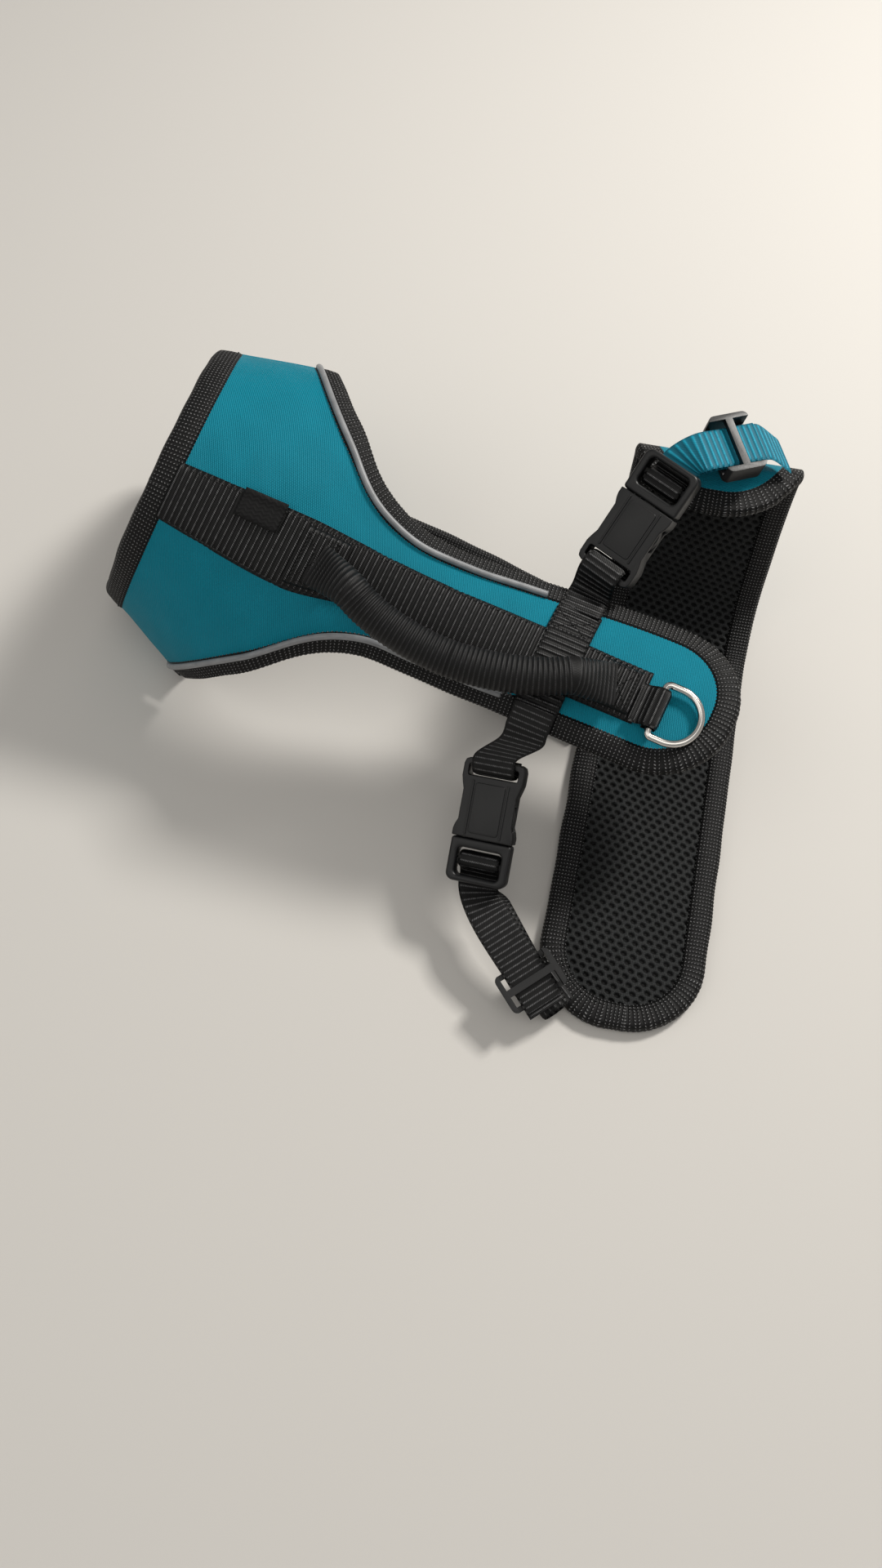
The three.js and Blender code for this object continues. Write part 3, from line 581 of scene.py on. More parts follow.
def even_rows(rows, step):
    """Rows at even steps of s, and closer together where the edge turns."""
    rows = np.array(rows, float)
    strides = np.abs(np.diff(rows[:, 0])) + 0.35 * np.abs(np.diff(rows[:, 1]))
    travel = np.concatenate([[0], np.cumsum(strides)])
    even = np.linspace(0, travel[-1], int(travel[-1] / step) + 1)
    return np.stack([np.interp(even, travel, rows[:, k]) for k in range(3)], -1)


HOLE_ROW, HOLE_PITCH, HOLE_DEPTH = 3.9, 5.2, 1.3


def hole_field(along, across):
    """0 in the holes of a staggered mesh, 1 on the knit between them."""
    skew = along + 0.22 * across
    row = np.floor(skew / HOLE_ROW)
    a = (skew / HOLE_ROW - row - 0.5) * HOLE_ROW
    b = ((across / HOLE_PITCH + 0.5 * (row % 2)) % 1 - 0.5) * HOLE_PITCH
    r = np.sqrt((a / 1.15) ** 2 + (b / 1.55) ** 2)
    return smooth(r, 0.55, 1.35)


def panel_grid(rows, cols):
    """Panel coordinates (s, t) of a grid, and each point's distance to the sewn edge."""
    rows = np.asarray(rows)
    j = np.linspace(0, 1, cols)
    s = np.repeat(rows[:, :1], cols, 1)
    t = rows[:, 1:2] * (1 - j) + rows[:, 2:3] * j
    edge = np.minimum(np.abs(rows[:, 1:2] - t), np.abs(t - rows[:, 2:3]))
    ends = np.minimum(s - rows[0, 0], rows[-1, 0] - s)
    return s, t, np.minimum(edge, ends)


def cloth_panel(name, surface, rows, cols, wrinkle):
    """A panel's outer fabric with soft wrinkles away from its seams."""
    s, t, edge = panel_grid(rows, cols)
    flat = np.stack([s, t, 0 * s], -1).reshape(-1, 3)
    lift = wrinkle * (grain(flat * v3(1, 0.8, 1), 46, 5) + 0.4 * grain(flat, 17, 8)).reshape(s.shape)
    lift *= smooth(edge, 0, 14)
    points, faces = slab(surface(s, t, -lift), surface(s, t, SHELL - lift))
    weave = np.concatenate([flat[:, :2], flat[:, :2]])
    return make_object(name, points, faces, TEAL, weave)


PAD_ROWS, PAD_COLS, PUFF_CAP = 56, 13, 1.9


def pad_puff(surface, rows):
    """Swelling of a pad's inner face in mm on a coarse grid, from a cloth simulation held at its seams."""
    rows = np.asarray(rows)
    picked = rows[np.linspace(0, len(rows) - 1, PAD_ROWS).astype(int)]
    s, t, edge = panel_grid(picked, PAD_COLS)
    points, faces = slab(surface(s, t, PAD_TOP), surface(s, t, TOTAL))
    pad = make_object("pad_in_the_making", points, faces, FOAM)
    size = s.size
    seam = pad.vertex_groups.new(name="seam")
    held = list(range(size)) + [size + int(k) for k in np.flatnonzero(edge.ravel() < 1.5)]
    seam.add(held, 1.0, "REPLACE")
    cloth = pad.modifiers.new("cloth", "CLOTH")
    cloth.settings.quality = 6
    cloth.settings.mass = 0.2
    cloth.settings.tension_stiffness = 12
    cloth.settings.compression_stiffness = 12
    cloth.settings.bending_stiffness = 0.6
    cloth.settings.vertex_group_mass = "seam"
    cloth.settings.use_pressure = True
    cloth.settings.uniform_pressure_force = 4
    cloth.settings.effector_weights.gravity = 0
    cloth.point_cache.frame_start = 1
    cloth.point_cache.frame_end = 20
    for number in range(1, 21):
        bpy.context.scene.frame_set(number)
    graph = bpy.context.evaluated_depsgraph_get()
    swollen = pad.evaluated_get(graph).data
    moved = np.empty(len(swollen.vertices) * 3)
    swollen.vertices.foreach_get("co", moved)
    moved = moved.reshape(-1, 3)[size:] / MM
    bpy.context.scene.frame_set(1)
    bpy.data.objects.remove(pad, do_unlink=True)
    inward = surface(s, t, TOTAL + 1).reshape(-1, 3) - surface(s, t, TOTAL).reshape(-1, 3)
    swell = np.sum((moved - points[size:]) * inward, 1).reshape(s.shape)
    return PUFF_CAP * np.tanh(swell / PUFF_CAP)


def on_coarse(grid, shape):
    """A coarse grid read at every point of a finer one."""
    rows = np.linspace(0, grid.shape[0] - 1, shape[0])
    cols = np.linspace(0, grid.shape[1] - 1, shape[1])
    r, c = np.minimum(rows.astype(int), grid.shape[0] - 2), np.minimum(cols.astype(int), grid.shape[1] - 2)
    fr, fc = smooth(rows - r, 0, 1)[:, None], smooth(cols - c, 0, 1)[None]
    top = grid[r][:, c] * (1 - fc) + grid[r][:, c + 1] * fc
    low = grid[r + 1][:, c] * (1 - fc) + grid[r + 1][:, c + 1] * fc
    return top * (1 - fr) + low * fr


def mesh_pad(name, surface, rows, cols, node):
    """The foam pad's lining: a swollen inner face with the knitted holes sunk into it."""
    s, t, _ = panel_grid(rows, cols)
    flat = np.stack([s, t, 0 * s], -1).reshape(-1, 3)
    relief = hole_field(s, t)
    puff = on_coarse(pad_puff(surface, rows), s.shape) - 0.5
    inner = TOTAL + puff - HOLE_DEPTH * (1 - relief) + 0.3 * grain(flat, 30, 4).reshape(s.shape)
    points, faces = slab(surface(s, t, PAD_TOP), surface(s, t, inner))
    weave = np.concatenate([flat[:, :2], flat[:, :2]])
    obj = make_object(name, points, faces, AIR_MESH, weave, np.concatenate([relief.ravel()] * 2))
    finish_piece(obj, "vest", "air_mesh", node, padded=0.8)


STEP = 1.3
MESH_STEP = 0.62
LEAD = np.linspace(NECK_START - 2, BAND - 1, 16)
far_back, near_back = back_edge(1), back_edge(-1)
far_chest, near_chest = chest_edge(1), chest_edge(-1)
far_girth, near_girth = girth_edge(1), girth_edge(-1)
PANELS = [
    ("back", on_back, panel_rows(far_back, near_back, LEAD), 0.5, 1.5, 200),
    ("chest", on_chest, panel_rows(far_chest, near_chest, LEAD), 0.35, 1.3, 230),
    ("girth", on_girth, panel_rows(far_girth, near_girth, []), 0.25, 1.0, 118),
]
for part, surface, rows, wrinkle, coarser, fine_cols in PANELS:
    cloth = cloth_panel(f"{part}_cloth", surface, even_rows(rows, STEP), 110, wrinkle)
    finish_piece(cloth, "vest", "teal_twill", f"{part}_panel_shell")
    mesh_pad(f"{part}_air_mesh", surface, even_rows(rows, MESH_STEP * coarser), fine_cols,
             f"{part}_panel_lining")


# ---- edge tape folded round every raw edge ----
def tape_section(width, reach_in):
    """Closed section of the folded tape: (outwards, depth) pairs, from the outer face round the rim."""
    thick = TOTAL + 2 * PROUD
    half = thick / 2
    rim = half * 0.72
    points = [(-reach_in, -PROUD + 0.6), (0, -PROUD - 0.15), ((width - rim) * 0.5, -PROUD - 0.35)]
    for a in np.linspace(-PI / 2, PI / 2, 13):
        points.append((width - rim + rim * math.cos(a), half - PROUD + half * math.sin(a)))
    points += [((width - rim) * 0.5, TOTAL + PROUD + 0.35), (0, TOTAL + PROUD + 0.15),
               (-reach_in, TOTAL + PROUD - 0.6)]
    points += [(0.8, TOTAL * 0.75), (0.8, TOTAL * 0.25)]
    return np.array(points)


def edge_tape(name, surface, run, width, node, closed=False, inside=0.0, flush=False):
    run = resample(run, 0.42)
    if closed:
        run = run[:-1]
        tangent = np.roll(run, -1, 0) - np.roll(run, 1, 0)
    else:
        tangent = np.gradient(run, axis=0)
    tangent = tangent / np.linalg.norm(tangent, axis=1)[:, None]
    normal = np.stack([-tangent[:, 1], tangent[:, 0]], -1) * (-1 if inside else 1)
    section = tape_section(width, 1.6)
    girthwise = arc_steps(section)
    at = arc_steps(run)
    rough = grain(np.stack([at, 0 * at, 0 * at], -1), 26, 3)
    rings = []
    middle = TOTAL / 2
    ribs = 0.5 + 0.5 * np.cos(2 * PI * at / TAPE_RIB)
    for i, (s, t) in enumerate(run):
        low = 0.3 * (1 - ribs[i])
        w = section[:, 0] * (1 + 0.035 * rough[i]) - low * (section[:, 0] > 1)
        d = section[:, 1] - low * np.sign(section[:, 1] - middle)
        if flush:
            d = np.maximum(d, 0.05)
        rings.append(surface(s + normal[i, 0] * w, t + normal[i, 1] * w, d))
    points, faces = sweep(rings, closed=closed)
    weave = np.stack([np.repeat(at, len(section)), np.tile(girthwise, len(run))], -1)
    relief = np.repeat(ribs, len(section))
    return finish_piece(make_object(name, points, faces, TAPE, weave, relief), "vest", "binding_tape", node)


tip = [(LENGTH, TONGUE_SHIFT + 3), (LENGTH, TONGUE_SHIFT - 3)]
edge_tape("back_edge_tape", on_back, far_back + tip + near_back[::-1], BINDING, "back_panel_binding")
edge_tape("far_chest_edge_tape", on_chest, far_chest, BINDING, "chest_binding_far")
edge_tape("near_chest_edge_tape", on_chest, near_chest, BINDING, "chest_binding_near", inside=1)
girth_run = far_girth + near_girth[::-1] + far_girth[:1]
edge_tape("girth_edge_tape", on_girth, girth_run, BINDING, "girth_binding", closed=True, flush=True)


def neck_tape():
    """Ring of tape round the neck opening."""
    turns = 1120
    t = np.linspace(0, 2 * PI * NECK_R, turns, endpoint=False)
    section = tape_section(BINDING, 1.6)
    rough = grain(np.stack([t, 0 * t, 0 * t], -1), 30, 9)
    ribs = 0.5 + 0.5 * np.cos(2 * PI * t / TAPE_RIB)
    low = 0.22 * (1 - ribs)
    rings = []
    for i, x in enumerate(t):
        d = section[:, 1] - low[i] * np.sign(section[:, 1] - TOTAL / 2)
        rings.append(on_back(BINDING - section[:, 0] * (1 + 0.04 * rough[i]), x, d))
    points, faces = sweep(rings, closed=True)
    weave = np.stack([np.repeat(t, len(section)), np.tile(arc_steps(section), turns)], -1)
    tape = make_object("neck_edge_tape", points, faces, TAPE, weave, np.repeat(ribs, len(section)))
    finish_piece(tape, "vest", "binding_tape", "neck_binding")


neck_tape()


# ---- felled side seams between the back and chest panels ----
SEAM_AT = PI / 2 * NECK_R


def side_seam(tag, side):
    """Seam allowance over the joint: teal outside, black tape inside, and the joint filled between."""
    layers = [("cloth", TEAL, "teal_twill", 4.2, -0.55, 0.7),
              ("filler", TAPE, "binding_tape", 2.2, 0.3, TOTAL),
              ("tape", TAPE, "binding_tape", 5.0, TOTAL - 0.5, TOTAL + 0.9)]
    for layer, material, slot, half, depth_out, depth_in in layers:
        s, t = np.meshgrid(np.linspace(NECK_START - 2, BAND + 1.5, 40),
                           np.linspace(-half, half, 12), indexing="ij")
        flat = 0.5 * (1 - smooth(half - np.abs(t), 0, 1.6))
        outer = on_back(s, side * (SEAM_AT - 1.2 + t), depth_out + flat)
        points, faces = slab(outer, on_back(s, side * (SEAM_AT - 1.2 + t), depth_in - flat))
        weave = np.stack([s.ravel(), t.ravel()], -1)
        obj = make_object(f"{tag}_side_seam_{layer}", points, faces, material, np.concatenate([weave] * 2),
                          np.ones(len(points)))
        finish_piece(obj, "vest", slot)


side_seam("far", 1)
side_seam("near", -1)

# ---- reflective piping ----
def tube(path, radius, sides=12, up=v3(0, 0, 1)):
    path = np.asarray(path, float)
    tangent = np.gradient(path, axis=0)
    rings = []
    side = np.cross(tangent[0], up)
    for p, d in zip(path, tangent):
        d = unit(d)
        side = unit(side - d * (side @ d))
        top = np.cross(side, d)
        a = np.linspace(0, 2 * PI, sides, endpoint=False)
        rings.append(p + radius * (np.cos(a)[:, None] * side + np.sin(a)[:, None] * top))
    return sweep(rings)


for name, edge in (("far", far_back), ("near", near_back)):
    run = resample([q for q in edge if q[0] < CROSS_AT - STRAP / 2 - 2], 1.2)
    wave = 0.35 * grain(np.stack([arc_steps(run), 0 * run[:, 0], 0 * run[:, 0]], -1), 40, 12)
    side = 1 if name == "far" else -1
    path = on_back(run[:, 0], run[:, 1] + side * (0.6 + wave), -1.35)
    points, faces = tube(path, 1.75)
    weave = np.stack([np.repeat(arc_steps(path), 12), np.tile(np.arange(12) * 0.9, len(path))], -1)
    finish_piece(make_object(f"{name}_piping", points, faces, PIPING, weave), "vest", "reflective_piping",
                 f"{name}_reflective_piping")


# ---- webbing ----
RIB = 3.1


def rib_wave(along, across, half, pitch=RIB):
    """Rib height 0..1, fading into the selvedge at each side."""
    wave = 0.5 + 0.5 * np.cos(2 * PI * along / pitch)
    selvedge = smooth(half - np.abs(across), 0, 1.2)
    return wave ** 1.5 * (0.3 + 0.7 * selvedge)


def ribbon(name, centre, tangent, width_dir, width, thick, material, rib=0.42, pitch=RIB):
    """Ribbed flat webbing along a dense centre line."""
    along = arc_steps(centre)
    cols = 15
    j = np.linspace(-1, 1, cols)
    across = j * width / 2
    side = width_dir / np.linalg.norm(width_dir, axis=1)[:, None]
    normal = np.cross(tangent, side)
    normal = normal / np.linalg.norm(normal, axis=1)[:, None]
    rounded = thick / 2 * np.sqrt(np.clip(1 - np.abs(j) ** 9, 0.04, 1))
    height = rib_wave(along[:, None], across[None], width / 2, pitch)
    lift = rounded[None] - rib * (1 - height) * 0.5
    base = centre[:, None] + side[:, None] * across[None, :, None]
    top = base + normal[:, None] * lift[..., None]
    bottom = base - normal[:, None] * lift[..., None]
    points, faces = slab(top, bottom)
    weave = np.stack([np.repeat(along, cols), np.tile(across, len(along))], -1)
    return make_object(name, points, faces, material, np.concatenate([weave, weave]),
                       np.concatenate([height.ravel()] * 2))


def laid(name, s_from, s_to, t_from, t_to, lift, thick, material, crosswise=False, rib=0.42, pitch=RIB):
    """Webbing sewn flat on the back panel; ribs run across its length."""
    step = 0.36
    long_count = int(abs((t_to - t_from) if crosswise else (s_to - s_from)) / step) + 2
    j = np.linspace(-1, 1, 17)
    if crosswise:
        t = np.linspace(t_from, t_to, long_count)[:, None] + 0 * j
        s = mix(s_from, s_to, (j + 1) / 2)[None] + 0 * t
        along, across, half = t, s - (s_from + s_to) / 2, (s_to - s_from) / 2
    else:
        s = np.linspace(s_from, s_to, long_count)[:, None] + 0 * j
        t = mix(t_from, t_to, (j + 1) / 2)[None] + 0 * s
        along, across, half = s, t - (t_from + t_to) / 2, (t_to - t_from) / 2
    height = rib_wave(along, across, half, pitch)
    edge = np.clip(1 - np.abs(j) ** 9, 0.05, 1) ** 0.5
    top = on_back(s, t, -lift - thick * edge[None] + rib * (1 - height))
    bottom = on_back(s, t, -lift + 0 * s)
    points, faces = slab(top, bottom)
    weave = np.stack([along.ravel(), across.ravel()], -1)
    return make_object(name, points, faces, material, np.concatenate([weave, weave]),
                       np.concatenate([height.ravel()] * 2))


TAB_END = HANDLE_TO + TAB
LAYER_1, LAYER_2 = 0.15, 1.75
finish_piece(laid("spine_webbing_ribs", NECK_START - 1, TAB_END + 4, -15, 15, LAYER_1, 1.7, BLACK_WEB),
             "vest", "black_webbing", "spine_webbing")
finish_piece(laid("cross_strap_ribs", CROSS_AT - 12, CROSS_AT + 12, -27, 31, LAYER_2, 1.6, BLACK_WEB,
                  crosswise=True),
             "vest", "black_webbing", "cross_strap")
finish_piece(laid("front_tab_ribs", HANDLE_FROM - TAB, HANDLE_FROM + 3, -12, 12, LAYER_2, 2.6, BLACK_WEB),
             "vest", "black_webbing", "handle_front_tab")
finish_piece(laid("rear_tab_ribs", HANDLE_TO - 3, TAB_END, -12, 12, LAYER_2, 2.6, BLACK_WEB),
             "vest", "black_webbing", "handle_rear_tab")


def blank_label():
    """Small folded satin label at the webbing's far edge, left blank."""
    s, t = np.meshgrid(np.linspace(46, 69, 24), np.linspace(3.5, 15.5, 16), indexing="ij")
    curl = 0.9 * smooth(t, 11, 15.5) + 0.15 * np.sin(s / 2.6)
    round_off = 0.35 * (1 - smooth(np.minimum(t - 3.5, 15.5 - t), 0, 1.2))
    points, faces = slab(on_back(s, t, -3.1 - curl + round_off), on_back(s, t, -1.9 - curl))
    weave = np.stack([s.ravel(), t.ravel()], -1)
    obj = make_object("label_blank", points, faces, LABEL, np.concatenate([weave] * 2),
                      np.full(len(points), 0.6))
    finish_piece(obj, "vest", "label", "side_label")


blank_label()


# ---- carrying handle ----
def handle_line(per_span=40):
    lift = -HANDLE_R - 4.4
    points = [
        on_back(HANDLE_FROM + GAP + 1, -2, lift),
        on_back(mix(HANDLE_FROM, HANDLE_TO, 0.22), -HANDLE_SAG * 0.75, -HANDLE_LIFT),
        on_back(mix(HANDLE_FROM, HANDLE_TO, 0.5), -HANDLE_SAG, -HANDLE_LIFT),
        on_back(mix(HANDLE_FROM, HANDLE_TO, 0.78), -HANDLE_SAG * 0.75, -HANDLE_LIFT),
        on_back(HANDLE_TO - GAP - 1, -2, lift),
    ]
    return catmull(points, per_span)


FOOT = 9
TAB_TOP = 4.4


def handle():
    """Ribbed tube of webbing that flattens where each end is sewn down on its tab."""
    centre, _ = handle_line(24)
    feet = [on_back(HANDLE_FROM - FOOT, -1, -TAB_TOP - 1.5), on_back(HANDLE_TO + FOOT, -1, -TAB_TOP - 1.5)]
    inner = centre[8:-8]
    line, _ = catmull([feet[0], *inner[:: 8], inner[-1], feet[1]], 12)
    along = arc_steps(line)
    fine = np.linspace(0, along[-1], int(along[-1] / (0.38)))
    centre = np.stack([np.interp(fine, along, line[:, k]) for k in range(3)], -1)
    tangent = np.gradient(centre, axis=0)
    sides = 44
    a = np.linspace(0, 2 * PI, sides, endpoint=False)
    rib = (0.5 + 0.5 * np.cos(2 * PI * fine / 2.6)) ** 1.4
    rough = grain(np.stack([fine, 0 * fine, 0 * fine], -1), 60, 21)
    rings = []
    for i, (p, d) in enumerate(zip(centre, tangent)):
        d = unit(d)
        u = fine[i] / fine[-1]
        end = min(fine[i], fine[-1] - fine[i])
        full = float(smooth(end, 0, 30)) ** 0.8
        s_here = mix(HANDLE_FROM - FOOT, HANDLE_TO + FOOT, u)
        out = unit(on_back(s_here, -2, -10) - on_back(s_here, -2, 0))
        side = unit(np.cross(d, out))
        out = np.cross(side, d)
        wide = mix(11.6, HANDLE_R - 0.1, full) * (1 + 0.02 * rough[i])
        tall = mix(1.5, HANDLE_R - 0.1, full)
        ripple = 1 - 0.045 * (1 - rib[i]) * (0.4 + 0.6 * full)
        seam = 1 - 0.06 * full * np.exp(-((a - 1.15 * PI) / 0.14) ** 2)
        flat = np.sign(np.cos(a)) * np.abs(np.cos(a)) ** mix(0.55, 1.0, full)
        rings.append(p + (flat * wide * ripple * seam)[:, None] * side
                     + (np.sin(a) * tall * ripple * seam)[:, None] * out)
    half = len(rings) // 2
    for tag, part, foot, lift in (("front", slice(0, half + 1), feet[0], centre[len(centre) // 5]),
                                  ("rear", slice(half, len(rings)), feet[1], centre[-len(centre) // 5])):
        points, faces = sweep(rings[part])
        weave = np.stack([np.repeat(fine[part], sides), np.tile(a * HANDLE_R, len(fine[part]))], -1)
        obj = make_object(f"handle_webbing_{tag}", points, faces, SLEEVE_WEB, weave,
                          np.repeat(rib[part], sides))
        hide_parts("handle_sleeve")
        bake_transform(obj)
    core_line = centre[len(centre) // 5: -len(centre) // 5: 6]
    points, faces = tube(core_line, 5.6, 16)
    finish_piece(make_object("handle_foam", points, faces, FOAM), "handle", "foam", "handle_core")


handle()

# ---- D-ring and its tab ----
BAR_AT = TAB_END + RING_REACH
BAR_DEPTH = -(2 * GAP + WEB + RING_WIRE)
ring_side = unit(on_back(BAR_AT, 2, 0) - on_back(BAR_AT, -10, 0))


def d_ring():
    half = RING_HALF - RING_WIRE
    depth = RING_DEPTH - 2 * RING_WIRE - half
    seat = on_back(BAR_AT, -4, BAR_DEPTH)
    tip_at = on_back(BAR_AT + 22, -4, BAR_DEPTH + 0.6)
    along = unit(tip_at - seat)
    across = unit(ring_side - along * (along @ ring_side))
    corner = 2.6
    outline = [(x, 0.0) for x in np.linspace(-half + corner, half - corner, 10)]
    outline += [(half - corner + corner * math.sin(a), corner - corner * math.cos(a))
                for a in np.linspace(0.2, PI / 2, 7)]
    outline += [(half * math.cos(a), depth + half * math.sin(a)) for a in np.linspace(0, PI, 48)]
    outline += [(-half + corner - corner * math.sin(a), corner - corner * math.cos(a))
                for a in np.linspace(PI / 2, 0.2, 7)]
    path = np.array([seat + x * across + y * along for x, y in outline])
    tangent = np.roll(path, -1, 0) - np.roll(path, 1, 0)
    up = np.cross(across, along)
    a = np.linspace(0, 2 * PI, 16, endpoint=False)
    rings = []
    for p, d in zip(path, tangent):
        side = unit(np.cross(unit(d), up))
        rings.append(p + RING_WIRE * (np.cos(a)[:, None] * side + np.sin(a)[:, None] * up))
    points, faces = sweep(rings, closed=True)
    finish_piece(make_object("d_ring_wire", points, faces, NICKEL), "d_ring", "nickel", "d_ring")


def d_ring_tab():
    turn = RING_WIRE + GAP + 0.2 + WEB / 2
    low = -(GAP + WEB + GAP)
    under = BAR_DEPTH + turn
    path = [
        (TAB_END + 1.5, low - 1), (BAR_AT - 7.5, low - 1.2), (BAR_AT - 0.8 * turn, BAR_DEPTH - 0.8 * turn),
        (BAR_AT, BAR_DEPTH - turn), (BAR_AT + 0.75 * turn, BAR_DEPTH - 0.75 * turn),
        (BAR_AT + turn, BAR_DEPTH),
        (BAR_AT + 0.75 * turn, BAR_DEPTH + 0.75 * turn), (BAR_AT, under), (BAR_AT - turn - 1, under + 0.1),
    ]
    centre, tangent = catmull([on_back(s, -4, d) for s, d in path], 14)
    sides = np.repeat(ring_side[None], len(centre), 0)
    finish_piece(ribbon("ring_tab_ribs", centre, tangent, sides, STRAP - 2, 1.6, BLACK_WEB), "vest",
                 "black_webbing", "d_ring_tab")


d_ring()
d_ring_tab()

# ---- buckles ----
BUCKLE_W, BUCKLE_T, FEMALE, MALE, WALL, CLEAR = 33, 11, 42, 24, 3, 0.4
ARM_LENGTH, ARM_W, FRAME_T, SLOT, BAR = 23, 3.6, 8, 6, 3.4
SEAM = FEMALE - (FEMALE + MALE) / 2
FEMALE_END, MALE_END = SEAM - FEMALE, SEAM + MALE
INNER_W, INNER_T, MOUTH = BUCKLE_W - 2 * WALL, 5.6, ARM_LENGTH + 3
SLIDER_W, SLIDER_L, SLIDER_BAR = 33, 22, 3
DOUBLED = 2 * WEB + GAP


def solid_from(name, points, faces):
    mesh = bpy.data.meshes.new(name)
    mesh.from_pydata([tuple(float(c) for c in p) for p in points], [], faces)
    obj = bpy.data.objects.new(name, mesh)
    bpy.context.scene.collection.objects.link(obj)
    bm = bmesh.new()
    bm.from_mesh(mesh)
    bmesh.ops.recalc_face_normals(bm, faces=bm.faces)
    bm.to_mesh(mesh)
    bm.free()
    return obj


def prism(outline, low, high, name="prism"):
    n = len(outline)
    points = [(x, y, low) for x, y in outline] + [(x, y, high) for x, y in outline]
    faces = [tuple(range(n))[::-1], tuple(range(n, 2 * n))]
    faces += [(i, (i + 1) % n, n + (i + 1) % n, n + i) for i in range(n)]
    return solid_from(name, points, faces)


def rounded(x0, x1, y0, y1, radius, steps=5):
    outline = []
    for cx, cy, start in ((x1 - radius, y0 + radius, -PI / 2), (x1 - radius, y1 - radius, 0),
                          (x0 + radius, y1 - radius, PI / 2), (x0 + radius, y0 + radius, PI)):
        for a in np.linspace(start, start + PI / 2, steps):
            outline.append((cx + radius * math.cos(a), cy + radius * math.sin(a)))
    return outline


def block(x0, x1, y0, y1, z0, z1, radius=0.0):
    outline = rounded(x0, x1, y0, y1, radius) if radius else [(x0, y0), (x1, y0), (x1, y1), (x0, y1)]
    return prism(outline, z0, z1)


def combine(base, tools, operation="DIFFERENCE"):
    for tool in tools:
        modifier = base.modifiers.new("cut", "BOOLEAN")
        modifier.operation = operation
        modifier.solver = "EXACT"
        modifier.object = tool
    return apply_modifiers(base, tools)


def apply_modifiers(obj, spent=()):
    bpy.context.view_layer.update()
    graph = bpy.context.evaluated_depsgraph_get()
    mesh = bpy.data.meshes.new_from_object(obj.evaluated_get(graph))
    obj.modifiers.clear()
    obj.data = mesh
    for tool in spent:
        bpy.data.objects.remove(tool, do_unlink=True)
    return obj


def soften(obj, width, segments=3):
    modifier = obj.modifiers.new("soft_edges", "BEVEL")
    modifier.width = width
    modifier.segments = segments
    modifier.limit_method = "ANGLE"
    modifier.angle_limit = math.radians(35)
    modifier.harden_normals = False
    modifier.use_clamp_overlap = True
    return apply_modifiers(obj)


def placed(obj, name, axes, origin, material):
    """Moves a piece made in mm in its own frame to its place in the part's frame."""
    matrix = Matrix([[axes[0][k], axes[1][k], axes[2][k], origin[k]] for k in range(3)] + [[0, 0, 0, 1]])
    obj.data.transform(Matrix.Scale(MM, 4) @ matrix)
    obj.name = name
    obj.data.name = name
    obj.data.materials.clear()
    obj.data.materials.append(material)
    for polygon in obj.data.polygons:
        polygon.use_smooth = True
    obj.data.set_sharp_from_angle(angle=math.radians(42))
    return obj


def frame_from(a, b, facing):
    y = unit(b - a)
    z = unit(facing - y * (facing @ y))
    return (np.cross(y, z), y, z), (a + b) / 2


def female_shape():
    """Socket: ears at the strap end, a waist at the latch openings, a raised centre panel."""
    w = BUCKLE_W / 2
    waist = w - 1.9
    outline = [(-w + 3, FEMALE_END), (w - 3, FEMALE_END), (w - 0.8, FEMALE_END + 1), (w, FEMALE_END + 3.5),
               (w, FEMALE_END + 10), (w - 0.7, FEMALE_END + 13), (waist, FEMALE_END + 17), (waist, SEAM - 9),
               (w - 0.6, SEAM - 6), (w, SEAM - 3.5), (w, SEAM)]
    outline += [(-x, y) for x, y in reversed(outline[2:])]
    body = prism(outline, -BUCKLE_T / 2 + 0.5, BUCKLE_T / 2 - 0.5)
    slot_at = FEMALE_END + 3.2 + SLOT / 2
    cuts = [
        block(-INNER_W / 2, INNER_W / 2, SEAM - MOUTH, SEAM + 1, -INNER_T / 2, INNER_T / 2),
        block(-INNER_W / 2, INNER_W / 2, slot_at - SLOT / 2, slot_at + SLOT / 2, -BUCKLE_T, BUCKLE_T, 1.2),
        block(-BUCKLE_W, BUCKLE_W, SEAM - 20, SEAM - 7, -INNER_T / 2, INNER_T / 2, 2),
    ]
    body = soften(combine(body, cuts), 1.1, 4)
    panel = block(-8.2, 8.2, FEMALE_END + 12.5, SEAM - 2.5, BUCKLE_T / 2 - 1, BUCKLE_T / 2 - 0.02, 1.6)
    panel = soften(panel, 0.4)
    ridges = [soften(block(x - 0.55, x + 0.55, FEMALE_END + 11.5, SEAM - 1.2, BUCKLE_T / 2 - 1,
                           BUCKLE_T / 2 + 0.1, 0.5), 0.3) for x in (-9.6, 9.6)]
    return combine(body, [panel, *ridges], "UNION")


